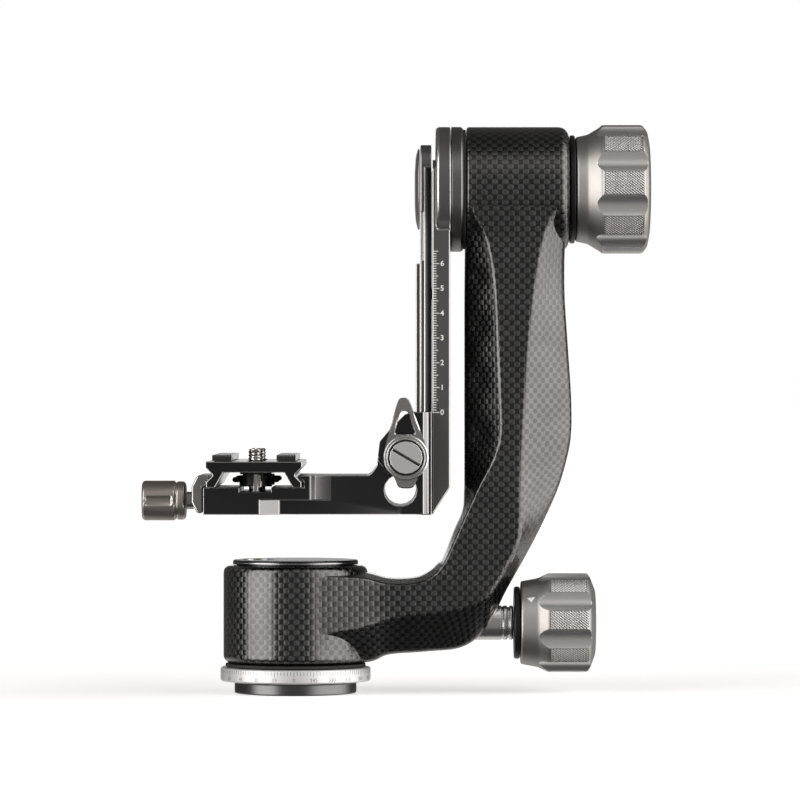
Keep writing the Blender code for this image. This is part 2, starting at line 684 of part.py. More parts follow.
def pan_base():
    """Foot on the tripod, the graduated ring on it, and the spindle that the arm turns round."""
    foot = tube(FOOT_R, INSERT_R + GAP, 0, FOOT_H, FOOT_EDGE)
    turned("foot", base, "Z", PAN_AXIS, foot, "grey anodised", LARGE_STEPS)
    turned("thread_insert", base, "Z", PAN_AXIS, tube(INSERT_R, INSERT_BORE_R, 0, INSERT_H), "steel")
    ring_bore = SPINDLE_FLANGE_R + GAP
    ring = tube(RING_R, ring_bore, RING_Z, RING_TOP_Z, RING_EDGE)
    turned("graduated_ring", base, "Z", PAN_AXIS, ring, "satin silver", LARGE_STEPS)
    socket_r = INSERT_R + GAP
    socket_z = INSERT_H + GAP
    profile = [
        (0, SPINDLE_TOP_Z),
        (SPINDLE_TOP_R, SPINDLE_TOP_Z),
        (SPINDLE_TOP_R, PAN_BUSH_TOP_Z),
        (SPINDLE_R, PAN_BUSH_TOP_Z),
        (SPINDLE_R, SHOULDER_Z),
        (SPINDLE_SHOULDER_R, SHOULDER_Z),
        (SPINDLE_SHOULDER_R, RING_TOP_Z),
        (SPINDLE_FLANGE_R, RING_TOP_Z),
        (SPINDLE_FLANGE_R, RING_Z),
        (socket_r, RING_Z),
        (socket_r, socket_z),
        (0, socket_z),
    ]
    turned("pan_spindle", base, "Z", PAN_AXIS, profile, "steel")
    nut = [circle(0, 0, PAN_NUT_R, NUT_SIDES), circle(0, 0, SPINDLE_TOP_R + 2 * GAP)]
    slab("pan_retaining_nut", base, "XY", nut, PAN_NUT_Z, PAN_NUT_Z + PAN_NUT_H, "steel")
    race = tube(PAN_INNER_RACE_R, SPINDLE_R + GAP, PAN_BEARING_Z, PAN_BEARING_TOP_Z)
    turned("pan_bearing_inner_race", base, "Z", PAN_AXIS, race, "steel")


def pan_bearings():
    """Sleeve in the arm's pan hub, with the ball bearing below, the bush above and the dust seal under it."""
    pocket_r = PAN_OUTER_RACE_R + GAP
    clear_r = PAN_OUTER_BORE_R
    ledge_r = SPINDLE_R + 2 * GAP
    bush_pocket_r = PAN_BUSH_R + GAP
    nut_room_r = PAN_NUT_R + PAN_RACE_T
    ledge_top = PAN_BUSH_Z - GAP
    profile = [
        (SLEEVE_R, SLEEVE_TOP_Z),
        (SLEEVE_R, SLEEVE_Z),
        (pocket_r, SLEEVE_Z),
        (pocket_r, PAN_BEARING_TOP_Z + GAP),
        (clear_r, PAN_BEARING_TOP_Z + GAP),
        (clear_r, ledge_top - SLEEVE_LEDGE),
        (ledge_r, ledge_top - SLEEVE_LEDGE),
        (ledge_r, ledge_top),
        (bush_pocket_r, ledge_top),
        (bush_pocket_r, PAN_BUSH_TOP_Z),
        (nut_room_r, PAN_BUSH_TOP_Z),
        (nut_room_r, SLEEVE_TOP_Z),
    ]
    sleeve = turned("pan_bearing_sleeve", arm, "Z", PAN_AXIS, profile, "grey anodised", MIDDLE_STEPS)
    shoe_hole = turned("shoe hole", None, "X", PAN_LOCK_AXIS, rod(SHOE_R + GAP, 0, PAN_HUB_R))
    cut(sleeve, shoe_hole)
    race = tube(PAN_OUTER_RACE_R, PAN_OUTER_BORE_R, PAN_BEARING_Z, PAN_BEARING_TOP_Z)
    turned("pan_bearing_outer_race", arm, "Z", PAN_AXIS, race, "steel")
    pitch_r = PAN_INNER_RACE_R + PAN_BALL_R + GAP
    middle = (PAN_BEARING_Z + PAN_BEARING_TOP_Z) / 2
    name = "pan_bearing_ball_cage"
    ball_cage(name, arm, "Z", PAN_AXIS, pitch_r, PAN_BALL_R, middle, PAN_BALL_COUNT)
    bush = tube(PAN_BUSH_R, SPINDLE_R + GAP, PAN_BUSH_Z, PAN_BUSH_TOP_Z - GAP)
    turned("pan_top_bush", arm, "Z", PAN_AXIS, bush, "brass")
    seal = tube(SEAL_R, SEAL_BORE_R, SEAL_Z, SEAL_Z + SEAL_H)
    turned("pan_dust_seal", arm, "Z", PAN_AXIS, seal, "black rubber", LARGE_STEPS)


def top_cap():
    """Cap plugged into the pan hub, with the bubble level glued into its pocket."""
    spigot_r = PAN_BORE_R - 2 * GAP
    spigot_z = CAP_Z - CAP_SPIGOT_H
    profile = [
        (0, CAP_TOP_Z),
        (CAP_R - CAP_EDGE, CAP_TOP_Z),
        (CAP_R, CAP_TOP_Z - CAP_EDGE),
        (CAP_R, CAP_Z),
        (spigot_r, CAP_Z),
        (spigot_r, spigot_z),
        (0, spigot_z),
    ]
    cap = turned("pan_top_cap", arm, "Z", PAN_AXIS, profile, "satin silver", LARGE_STEPS)
    at = Vector((LEVEL_X, 0, 0))
    pocket = rod(LEVEL_CUP_R + GAP, LEVEL_FLOOR_Z, CAP_TOP_Z + OVERRUN)
    cut(cap, turned("level pocket", None, "Z", at, pocket))
    cup = turned("level_cup", arm, "Z", at, rod(LEVEL_CUP_R, LEVEL_CUP_Z, LEVEL_CUP_TOP_Z), "satin silver")
    seat = rod(LEVEL_LENS_R + GAP, LEVEL_LENS_Z - GAP, CAP_TOP_Z + OVERRUN)
    cut(cup, turned("lens seat", None, "Z", at, seat))
    crown = LEVEL_LENS_Z + LEVEL_LENS_H
    lens = [
        (0, crown),
        (LEVEL_LENS_R / 2, crown - GAP / 2),
        (LEVEL_LENS_R, crown - 2 * GAP),
        (LEVEL_LENS_R, LEVEL_LENS_Z),
        (0, LEVEL_LENS_Z),
    ]
    turned("level_lens", arm, "Z", at, lens, "clear lens")


# Arm stations, as shares. The columns are the inner edge, inner ridge, outer ridge and outer edge, each as
# its distance from the pan axis over the tilt hub's far face and its height over the rise, then the half
# widths at the edges and at the ridges over the tilt hub's radius. Lower rows rise with the pan hub, and
# upper rows from its top to the tilt axis.
LOWER_ARM_SHARES = (
    (0.090, 0.960, 0.090, 0.909, 0.090, 0.292, 0.090, 0.015, 0.560, 1.085),
    (0.243, 0.935, 0.243, 0.884, 0.243, 0.385, 0.261, 0.010, 0.420, 0.915),
    (0.344, 0.869, 0.342, 0.821, 0.344, 0.471, 0.342, 0.086, 0.360, 0.820),
    (0.441, 0.879, 0.450, 0.834, 0.468, 0.519, 0.477, 0.116, 0.350, 0.780),
)
UPPER_ARM_SHARES = (
    (0.492, -0.014, 0.504, -0.024, 0.600, -0.113, 0.612, -0.217, 0.350, 0.775),
    (0.518, 0.004, 0.529, -0.003, 0.688, -0.089, 0.701, -0.164, 0.350, 0.790),
    (0.539, 0.020, 0.549, 0.019, 0.742, -0.037, 0.773, -0.064, 0.350, 0.810),
    (0.578, 0.092, 0.594, 0.091, 0.809, 0.058, 0.854, 0.042, 0.350, 0.830),
    (0.610, 0.147, 0.638, 0.163, 0.820, 0.120, 0.913, 0.127, 0.340, 0.840),
    (0.616, 0.196, 0.675, 0.220, 0.820, 0.196, 0.962, 0.209, 0.330, 0.850),
    (0.617, 0.261, 0.719, 0.278, 0.822, 0.274, 0.992, 0.284, 0.330, 0.850),
    (0.617, 0.333, 0.747, 0.346, 0.826, 0.340, 1.007, 0.346, 0.330, 0.850),
    (0.617, 0.438, 0.746, 0.438, 0.835, 0.438, 1.008, 0.438, 0.330, 0.850),
    (0.617, 0.576, 0.738, 0.576, 0.848, 0.576, 0.996, 0.576, 0.340, 0.850),
    (0.617, 0.707, 0.730, 0.707, 0.868, 0.707, 0.984, 0.707, 0.370, 0.860),
    (0.618, 0.805, 0.715, 0.805, 0.888, 0.805, 0.982, 0.805, 0.430, 0.880),
    (0.619, 0.877, 0.690, 0.867, 0.908, 0.877, 0.986, 0.877, 0.500, 0.905),
    (0.630, 0.969, 0.650, 0.955, 0.960, 0.960, 0.992, 0.969, 0.560, 0.960),
)


def arm_corners():
    """Rows of eight corner points, down the near side of each station and back up its far side."""
    rows = []
    upper_rise = TILT_Z - PAN_HUB_TOP_Z
    tables = ((LOWER_ARM_SHARES, PAN_HUB_Z, PAN_HUB_H), (UPPER_ARM_SHARES, PAN_HUB_TOP_Z, upper_rise))
    for shares, foot_z, rise in tables:
        for *places, edge_share, ridge_share in shares:
            track = [(x * TILT_HUB_RIGHT_X, foot_z + z * rise) for x, z in zip(places[::2], places[1::2])]
            edge = edge_share * TILT_HUB_R
            ridge = ridge_share * TILT_HUB_R
            halves = (edge, ridge, ridge, edge)
            near = [Vector((x, -half, z)) for (x, z), half in zip(track, halves)]
            far = [Vector((x, half, z)) for (x, z), half in zip(track, halves)]
            rows.append(near + far[::-1])
    return rows


def between(before, start, end, after, share):
    """The point at this share of the way on a smooth curve from start to end."""
    square = share * share
    cube = square * share
    return (
        start * (1.5 * cube - 2.5 * square + 1)
        + end * (2 * square + share / 2 - 1.5 * cube)
        + before * (square - cube / 2 - share / 2)
        + after * (cube / 2 - square / 2)
    )


def softened(corners):
    """The ring of corner points with each corner rounded by a short curve."""
    ring = []
    for i, corner in enumerate(corners):
        before = corners[i - 1] - corner
        after = corners[(i + 1) % len(corners)] - corner
        start = corner + before * min(ARM_CORNER_SHARE, ARM_CORNER / before.length)
        end = corner + after * min(ARM_CORNER_SHARE, ARM_CORNER / after.length)
        for share in (0, 1):
            ring.append(start * (1 - share) ** 2 + corner * 2 * share * (1 - share) + end * share**2)
    return ring


def carbon_arm():
    """Moulded arm: a blade of eight-sided sections lofted from the pan hub to the tilt hub."""
    rows = arm_corners()
    rings = []
    for i in range(len(rows) - 1):
        before = rows[max(i - 1, 0)]
        after = rows[min(i + 2, len(rows) - 1)]
        for step in range(ARM_SUBSTEPS):
            share = step / ARM_SUBSTEPS
            corners = [between(*points, share) for points in zip(before, rows[i], rows[i + 1], after)]
            rings.append(softened(corners))
    rings.append(softened(rows[-1]))
    mesh = bpy.data.meshes.new("arm blade")
    loft = bmesh.new()
    verts = [[loft.verts.new(point) for point in ring] for ring in rings]
    count = len(rings[0])
    for lower, upper in zip(verts, verts[1:]):
        for i in range(count):
            loft.faces.new((lower[i], upper[i], upper[(i + 1) % count], lower[(i + 1) % count]))
    loft.faces.new(verts[0])
    loft.faces.new(verts[-1])
    bmesh.ops.triangulate(loft, faces=loft.faces)
    bmesh.ops.recalc_face_normals(loft, faces=loft.faces)
    loft.to_mesh(mesh)
    loft.free()
    blade = enter(bpy.data.objects.new("arm blade", mesh), None, PAN_AXIS)

    pan_profile = rod(PAN_HUB_R, PAN_HUB_Z, PAN_HUB_TOP_Z, PAN_HUB_EDGE)
    shell = turned("carbon_arm", arm, "Z", PAN_AXIS, pan_profile, "carbon", LARGE_STEPS)
    tilt_profile = rod(TILT_HUB_R, TILT_HUB_LEFT_X, TILT_HUB_RIGHT_X, TILT_HUB_EDGE)
    tilt_hub = turned("tilt hub", None, "X", TILT_AXIS, tilt_profile, steps=LARGE_STEPS)
    join(shell, blade, tilt_hub)
    pan_bore = turned("pan bore", None, "Z", PAN_AXIS, rod(PAN_BORE_R, 0, CAP_TOP_Z), steps=MIDDLE_STEPS)
    tilt_ends = (TILT_HUB_LEFT_X - OVERRUN, TILT_HUB_RIGHT_X + OVERRUN)
    tilt_bore = turned("tilt bore", None, "X", TILT_AXIS, rod(TILT_BORE_R, *tilt_ends), steps=MIDDLE_STEPS)
    rod_room_r = ROD_R + 2 * GAP
    lock_bore = [
        (0, BARREL_END_X),
        (BARREL_R + GAP, BARREL_END_X),
        (BARREL_R + GAP, BARREL_START_X - GAP),
        (rod_room_r, BARREL_START_X - GAP),
        (rod_room_r, 0),
        (0, 0),
    ]
    cut(shell, pan_bore, tilt_bore, turned("pan lock bore", None, "X", PAN_LOCK_AXIS, lock_bore))


def tilt_bearings():
    """Sleeve in the arm's tilt hub, its ball bearing, its bush and the black ring on its far end."""
    profile = [
        (TILT_SLEEVE_R, TILT_SLEEVE_RIGHT_X),
        (TILT_SLEEVE_R, TILT_SLEEVE_X),
        (TILT_OUTER_RACE_R + GAP, TILT_SLEEVE_X),
        (TILT_OUTER_RACE_R + GAP, TILT_BEARING_RIGHT_X + GAP),
        (TILT_SLEEVE_LEDGE_R, TILT_BEARING_RIGHT_X + GAP),
        (TILT_SLEEVE_LEDGE_R, TILT_BUSH_X - GAP),
        (TILT_BUSH_R + GAP, TILT_BUSH_X - GAP),
        (TILT_BUSH_R + GAP, TILT_SLEEVE_RIGHT_X),
    ]
    turned("tilt_bearing_sleeve", arm, "X", TILT_AXIS, profile, "grey anodised", MIDDLE_STEPS)
    race = tube(TILT_OUTER_RACE_R, TILT_OUTER_BORE_R, TILT_BEARING_X, TILT_BEARING_RIGHT_X)
    turned("tilt_bearing_outer_race", arm, "X", TILT_AXIS, race, "steel")
    pitch_r = TILT_INNER_RACE_R + TILT_BALL_R + GAP
    middle = (TILT_BEARING_X + TILT_BEARING_RIGHT_X) / 2
    name = "tilt_bearing_ball_cage"
    ball_cage(name, arm, "X", TILT_AXIS, pitch_r, TILT_BALL_R, middle, TILT_BALL_COUNT)
    bush = tube(TILT_BUSH_R, TILT_SPINDLE_R + GAP, TILT_BUSH_X, TILT_BUSH_RIGHT_X)
    turned("tilt_outer_bush", arm, "X", TILT_AXIS, bush, "brass")
    ring = tube(END_RING_R, TILT_SPINDLE_R + 2 * GAP, END_RING_X, END_RING_RIGHT_X)
    turned("tilt_end_ring", arm, "X", TILT_AXIS, ring, "dark anodised", LARGE_STEPS)


def swing_parts():
    """What swings on the tilt axis: spindle, flange, plate with the scale, and slide rail with its cap."""
    spindle = [
        (0, TILT_SPINDLE_END_X),
        (TILT_THREAD_R, TILT_SPINDLE_END_X),
        (TILT_THREAD_R, TILT_THREAD_X),
        (TILT_SPINDLE_R, TILT_THREAD_X),
        (TILT_SPINDLE_R, TILT_HEAD_RIGHT_X),
        (TILT_HEAD_R, TILT_HEAD_RIGHT_X),
        (TILT_HEAD_R, TILT_HEAD_X),
        (0, TILT_HEAD_X),
    ]
    turned("tilt_spindle", swing, "X", TILT_AXIS, spindle, "steel")
    bore_r = TILT_SPINDLE_R + GAP
    boss_x = TILT_BEARING_X - GAP
    flange = [
        (FLANGE_BOSS_R, boss_x),
        (FLANGE_BOSS_R, FLANGE_RIGHT_X),
        (FLANGE_R - FLANGE_EDGE, FLANGE_RIGHT_X),
        (FLANGE_R, FLANGE_RIGHT_X - FLANGE_EDGE),
        (FLANGE_R, FLANGE_X),
        (bore_r, FLANGE_X),
        (bore_r, boss_x),
    ]
    turned("tilt_flange", swing, "X", TILT_AXIS, flange, "grey anodised", LARGE_STEPS)
    race = tube(TILT_INNER_RACE_R, bore_r, TILT_BEARING_X, TILT_BEARING_RIGHT_X)
    turned("tilt_bearing_inner_race", swing, "X", TILT_AXIS, race, "steel")

    disc = [
        (0, DISC_RIGHT_X),
        (FLANGE_R, DISC_RIGHT_X),
        (FLANGE_R, DISC_X + FLANGE_EDGE),
        (FLANGE_R - FLANGE_EDGE, DISC_X),
        (0, DISC_X),
    ]
    plate = turned("swing_plate", swing, "X", TILT_AXIS, disc, "grey anodised", LARGE_STEPS)
    side = [
        (PLATE_X, PLATE_BOTTOM_Z),
        (PLATE_RIGHT_X, PLATE_BOTTOM_Z + PLATE_CHAMFER_H),
        (PLATE_RIGHT_X, PLATE_TOP_Z),
        (PLATE_X, PLATE_TOP_Z),
    ]
    blade = slab("scale plate", None, "XZ", [side], -PLATE_HALF, PLATE_HALF)
    join(plate, blade)
    seat_ends = (PLATE_X - OVERRUN, TILT_HEAD_RIGHT_X + GAP, DISC_RIGHT_X + OVERRUN)
    spindle_seat = stepped(TILT_HEAD_R + GAP, bore_r, *seat_ends)
    cut(plate, turned("spindle seat", None, "X", TILT_AXIS, spindle_seat, steps=MIDDLE_STEPS))
    taper = RAIL_T - RAIL_WING_T
    wing_x = RAIL_X + RAIL_WING_T
    top = RAIL_TOP_Z
    face = [
        (-PLATE_HALF, PLATE_BOTTOM_Z),
        (PLATE_HALF, PLATE_BOTTOM_Z),
        (PLATE_HALF, top, RAIL_TOP_CORNER),
        (-PLATE_HALF, top, RAIL_TOP_CORNER),
    ]
    rail = slab("slide_rail", swing, "YZ", [face], RAIL_X, RAIL_RIGHT_X, "grey anodised")
    strip_low = (STRIP_X, -STRIP_HALF, PLATE_BOTTOM_Z)
    strip_high = (wing_x, STRIP_HALF, STRIP_TOP_Z)
    join(rail, block("raised strip", None, strip_low, strip_high))
    groove_top = TILT_Z + RAIL_TOP_CORNER
    for side_name, sign in (("near", -1), ("far", 1)):
        groove = [
            (wing_x, sign * PLATE_HALF),
            (RAIL_RIGHT_X, sign * (PLATE_HALF - taper)),
            (RAIL_RIGHT_X + OVERRUN, sign * (PLATE_HALF - taper)),
            (RAIL_RIGHT_X + OVERRUN, sign * (PLATE_HALF + OVERRUN)),
            (wing_x, sign * (PLATE_HALF + OVERRUN)),
        ]
        name = f"{side_name} rail groove"
        cut(rail, slab(name, None, "XY", [groove], PLATE_BOTTOM_Z - OVERRUN, groove_top))
        side_y = sign * PLATE_HALF
        pocket_z = STRIP_TOP_Z + POCKET_DEPTH
        pocket_low = (RAIL_X - OVERRUN, side_y - POCKET_REACH, pocket_z)
        pocket_high = (RAIL_X + POCKET_DEPTH, side_y + POCKET_REACH, pocket_z + POCKET_H)
        cut(rail, block(f"{side_name} rail pocket", None, pocket_low, pocket_high))
    screw_places = (
        ("rail_screw_top", STRIP_TOP_Z - RAIL_SCREW_INSET),
        ("rail_screw_bottom", PLATE_BOTTOM_Z + RAIL_SCREW_INSET),
    )
    length = RAIL_T + STRIP_T + PLATE_T / 2
    for name, height in screw_places:
        at = Vector((STRIP_X, 0, height))
        socket_screw(name, swing, at, length)
        hole_r = RAIL_SCREW_SHANK_R + GAP
        seat = stepped(RAIL_SCREW_R + GAP, hole_r, -OVERRUN, RAIL_SCREW_HEAD_T + GAP, length + GAP)
        cut(rail, turned(name + " seat", None, "X", at, seat))
        cut(plate, turned(name + " tapped hole", None, "X", at, rod(hole_r, 0, length + GAP)))
    crown_x = AXIS_CAP_RIGHT_X - AXIS_CAP_T
    cap = [
        (0, AXIS_CAP_RIGHT_X),
        (AXIS_CAP_R, AXIS_CAP_RIGHT_X),
        (AXIS_CAP_R, AXIS_CAP_RIGHT_X - AXIS_CAP_T / 3),
        (AXIS_CAP_CROWN_R, crown_x + AXIS_CAP_T / 6),
        (AXIS_CAP_CROWN_R / 2, crown_x),
        (0, crown_x),
    ]
    turned("tilt_axis_cap", swing, "X", TILT_AXIS, cap, "satin silver", MIDDLE_STEPS)


def tilt_lock():
    """Scalloped knob whose bush screws onto the spindle's thread and presses the washer on the ring."""
    washer = tube(TILT_KNOB_RECESS_R - GAP, TILT_THREAD_R + GAP, TILT_KNOB_X, TILT_WASHER_RIGHT_X)
    turned("tilt_friction_washer", tilt_brake, "X", TILT_AXIS, washer, "bearing polymer", MIDDLE_STEPS)
    bush = tube(LOCK_BUSH_R, TILT_THREAD_R + GAP, LOCK_BUSH_X, LOCK_BUSH_RIGHT_X)
    turned("tilt_lock_bush", tilt_knob, "X", TILT_AXIS, bush, "brass")
    grip_x = TILT_KNOB_X + TILT_KNOB_NECK_L
    grip_end_x = grip_x + TILT_KNOB_R - TILT_KNOB_FLARE_R + TILT_KNOB_GRIP_L
    chamfer_x = grip_end_x + TILT_KNOB_CHAMFER
    recess_x = TILT_WASHER_RIGHT_X + GAP
    bush_room_r = LOCK_BUSH_R + GAP
    bush_room_x = LOCK_BUSH_RIGHT_X + GAP
    spindle_room_r = TILT_THREAD_R + GAP
    spindle_room_x = TILT_SPINDLE_END_X + 2 * GAP
    profile = [
        (0, TILT_KNOB_RIGHT_X),
        (TILT_KNOB_FACE_R, chamfer_x),
        (TILT_KNOB_R, grip_end_x),
        (TILT_KNOB_R, grip_x + TILT_KNOB_R - TILT_KNOB_FLARE_R),
        (TILT_KNOB_FLARE_R, grip_x),
        (TILT_KNOB_WAIST_R, (TILT_KNOB_X + grip_x) / 2),
        (TILT_KNOB_NECK_R, TILT_KNOB_X),
        (TILT_KNOB_RECESS_R, TILT_KNOB_X),
        (TILT_KNOB_RECESS_R, recess_x),
        (bush_room_r, recess_x),
        (bush_room_r, bush_room_x),
        (spindle_room_r, bush_room_x),
        (spindle_room_r, spindle_room_x),
        (0, spindle_room_x),
    ]
    knob = turned("tilt_lock_knob", tilt_knob, "X", TILT_AXIS, profile, "titanium", LARGE_STEPS)
    reach = TILT_KNOB_R - TILT_SCALLOP_DEPTH + TILT_SCALLOP_R
    flute = rod(TILT_SCALLOP_R, (TILT_KNOB_X + grip_x) / 2, TILT_KNOB_RIGHT_X + OVERRUN)
    scallops(knob, TILT_AXIS, TILT_KNOB_SCALLOPS, TILT_SCALLOP_TURN, reach, flute)


def pan_lock():
    """Barrel in the arm, and the knob whose rod runs through it and presses the shoe on the pan spindle."""
    barrel = tube(BARREL_R, BARREL_BORE_R, BARREL_START_X, BARREL_END_X, BARREL_EDGE)
    turned("pan_lock_barrel", arm, "X", PAN_LOCK_AXIS, barrel, "dark anodised")
    turned("pan_brake_shoe", pan_brake, "X", PAN_LOCK_AXIS, rod(SHOE_R, SHOE_X, SHOE_X + SHOE_L), "brass")
    turned("pan_lock_rod", pan_knob, "X", PAN_LOCK_AXIS, rod(ROD_R, ROD_X, ROD_END_X), "steel")
    boss = tube(BOSS_R, ROD_R + GAP, BOSS_X, BOSS_X + BOSS_T, BARREL_EDGE)
    turned("pan_lock_boss", pan_knob, "X", PAN_LOCK_AXIS, boss, "dark anodised", MIDDLE_STEPS)
    neck_x = PAN_KNOB_X + PAN_KNOB_NECK_L
    flare_x = neck_x + PAN_KNOB_FLARE_L
    grip_end_x = flare_x + PAN_KNOB_GRIP_L
    rod_room_r = ROD_R + GAP
    rod_room_x = ROD_END_X + GAP
    profile = [
        (0, PAN_KNOB_RIGHT_X),
        (PAN_KNOB_FACE_R, PAN_KNOB_RIGHT_X),
        (PAN_KNOB_R - PAN_KNOB_CHAMFER, grip_end_x + PAN_KNOB_CHAMFER_L),
        (PAN_KNOB_R, grip_end_x),
        (PAN_KNOB_R, flare_x),
        (PAN_KNOB_FLARE_R, neck_x),
        (PAN_KNOB_NECK_R, PAN_KNOB_X),
        (rod_room_r, PAN_KNOB_X),
        (rod_room_r, rod_room_x),
        (0, rod_room_x),
    ]
    knob = turned("pan_lock_knob", pan_knob, "X", PAN_LOCK_AXIS, profile, "titanium", LARGE_STEPS)
    reach = PAN_KNOB_R - PAN_SCALLOP_DEPTH + PAN_SCALLOP_R
    flute = rod(PAN_SCALLOP_R, (PAN_KNOB_X + neck_x) / 2, PAN_KNOB_RIGHT_X + OVERRUN)
    scallops(knob, PAN_LOCK_AXIS, PAN_KNOB_SCALLOPS, PAN_SCALLOP_TURN, reach, flute)


# Gusset of the cradle block from the bar up to the block's top, as shares of its run and of its rise
GUSSET_SHARES = (
    (0.00, 0.04),
    (0.12, 0.15),
    (0.15, 0.31),
    (0.19, 0.53),
    (0.42, 0.71),
    (0.63, 0.85),
    (0.80, 0.96),
    (1.00, 1.00),
)


def gusset_points():
    """The gusset's edge, from the bar to the block's top."""
    run = GUSSET_W - GUSSET_RUN
    rise = BLOCK_TOP_Z - BAR_TOP_Z
    return [(BLOCK_LEFT_X + x * run, BAR_TOP_Z + z * rise) for x, z in GUSSET_SHARES]


def jaw_outline(grow):
    """The near clamp plate's outline: from the gusset down to the hole, and on to the bottom edge."""
    gusset = gusset_points()
    seam_top = gusset[2]
    return [
        (HOLE_X - grow, CRADLE_BOTTOM_Z - grow),
        (HOLE_X - grow, HOLE_Z),
        (seam_top[0] - 2 * grow, seam_top[1] - grow),
        *[(x - 2 * grow, z + grow) for x, z in gusset[3:]],
        (BLOCK_RIGHT_X + grow, BLOCK_TOP_Z + grow),
        (BLOCK_RIGHT_X + grow, CRADLE_BOTTOM_Z - grow),
    ]


def channel_outline():
    """Section of the rail's room in the block: a slot whose lips reach into the rail's grooves."""
    side = PLATE_HALF + GAP
    taper = RAIL_T - RAIL_WING_T
    slant = GAP * 2**0.5
    lip_x = RAIL_X + RAIL_WING_T + slant - GAP
    mouth = PLATE_HALF - taper + slant
    half = [(CHANNEL_X, side), (lip_x, side), (BLOCK_RIGHT_X, mouth), (BLOCK_RIGHT_X + OVERRUN, mouth)]
    return half + [(x, -y) for x, y in half[::-1]]


def cradle_bracket():
    """One dark piece: the bar, the block that rides the rail, and the bed that the lens plate sits in."""
    gusset = gusset_points()
    side = [
        (BED_X, CRADLE_BOTTOM_Z),
        (BLOCK_RIGHT_X, CRADLE_BOTTOM_Z),
        (BLOCK_RIGHT_X, BLOCK_TOP_Z),
        *gusset[::-1],
        (BLOCK_LEFT_X - BED_EDGE, BAR_TOP_Z),
        (BED_X, BAR_TOP_Z),
    ]
    bracket = slab("cradle_bracket", cradle, "XZ", [side], -CRADLE_HALF, CRADLE_HALF, "dark anodised")
    step_z = CRADLE_BOTTOM_Z + BED_STEP_H
    upper = [
        (BED_X, -BED_HALF),
        (BED_RIGHT_X, -BED_HALF, BED_EDGE),
        (BED_RIGHT_X + BED_EDGE, -CRADLE_HALF - BED_EDGE, BED_EDGE / 2),
        (BED_RIGHT_X + BED_ARC, -CRADLE_HALF),
        (BED_RIGHT_X + BED_ARC, CRADLE_HALF),
        (BED_RIGHT_X + BED_EDGE, CRADLE_HALF + BED_EDGE, BED_EDGE / 2),
        (BED_RIGHT_X, BED_HALF, BED_EDGE),
        (BED_X, BED_HALF),
    ]
    lower_x = LENS_X + BED_LOWER_RIGHT
    lower = [
        (BED_X, -BED_HALF),
        (lower_x, -BED_HALF),
        (lower_x + BED_ARC, -CRADLE_HALF),
        (lower_x + BED_ARC, CRADLE_HALF),
        (lower_x, BED_HALF),
        (BED_X, BED_HALF),
    ]
    bed_upper = slab("bed upper layer", None, "XY", [upper], step_z, BAR_TOP_Z)
    bed_lower = slab("bed lower layer", None, "XY", [lower], CRADLE_BOTTOM_Z, step_z)
    join(bracket, bed_upper, bed_lower)

    foot_half = LENS_FOOT_HALF + 2 * GAP
    waist_half = LENS_WAIST_HALF + 2 * GAP
    jaw_turn_z = LENS_Z + LENS_FOOT_H
    bed_room = [
        (BED_X - OVERRUN, BED_FLOOR_Z),
        (LENS_X + foot_half, BED_FLOOR_Z),
        (LENS_X + foot_half, jaw_turn_z),
        (LENS_X + waist_half, BAR_TOP_Z),
        (LENS_X + waist_half, BAR_TOP_Z + OVERRUN),
        (BED_X - OVERRUN, BAR_TOP_Z + OVERRUN),
    ]
    room = slab("plate room", None, "XZ", [bed_room], -BED_HALF - OVERRUN, BED_HALF + OVERRUN)
    relief = block(
        "screw head relief",
        None,
        (LENS_X - RELIEF_HALF, -BED_HALF - OVERRUN, BED_FLOOR_Z - RELIEF_DEPTH),
        (LENS_X + RELIEF_HALF, BED_HALF + OVERRUN, BED_FLOOR_Z + OVERRUN),
    )
    seam_y = -CRADLE_HALF + JAW_T
    jaw_room = slab("jaw room", None, "XZ", [jaw_outline(GAP)], -CRADLE_HALF - OVERRUN, seam_y + GAP)
    low = CRADLE_BOTTOM_Z - OVERRUN
    top = BLOCK_TOP_Z + OVERRUN
    near_y = -CRADLE_HALF - OVERRUN
    far_y = CRADLE_HALF + OVERRUN
    channel = slab("rail channel", None, "XY", [channel_outline()], low, top)
    hole = slab("finger hole", None, "XZ", [circle(HOLE_X, HOLE_Z, HOLE_R)], near_y, far_y)
    shank_hole = rod(CLAMP_SHANK_R + GAP, seam_y - OVERRUN, far_y)
    shank = turned("clamp screw hole", None, "Y", CLAMP_AXIS, shank_hole)
    nut_room = rod(NUT_R + GAP, CRADLE_HALF - NUT_T, far_y)
    nut_seat = turned("nut seat", None, "Y", CLAMP_AXIS, nut_room, steps=NUT_SIDES)
    lip_low = (CHANNEL_X, near_y, low)
    lip_high = (BLOCK_RIGHT_X + OVERRUN, -PLATE_HALF / 2, top)
    lip_room = block("near lip room", None, lip_low, lip_high)
    cut(bracket, room, relief, jaw_room, channel, lip_room, hole, shank, nut_seat)
    for name, height in pin_places():
        at = Vector((PIN_X, 0, height))
        pin_hole = rod(PIN_R + GAP, seam_y - OVERRUN, seam_y + PIN_L)
        cut(bracket, turned(name + " hole", None, "Y", at, pin_hole))
    screw_hole = rod(PLATE_SCREW_R + GAP, BED_X - OVERRUN, BED_X + PLATE_SCREW_DEPTH + GAP)
    cut(bracket, turned("plate screw hole", None, "X", PLATE_SCREW_AXIS, screw_hole))
    for name, y in (("near", -JAW_PIN_Y), ("far", JAW_PIN_Y)):
        at = PLATE_SCREW_AXIS + Vector((0, y, 0))
        pin_hole = rod(JAW_PIN_R + GAP, BED_X - OVERRUN, BED_X + JAW_PIN_L)
        cut(bracket, turned(f"{name} jaw pin hole", None, "X", at, pin_hole))


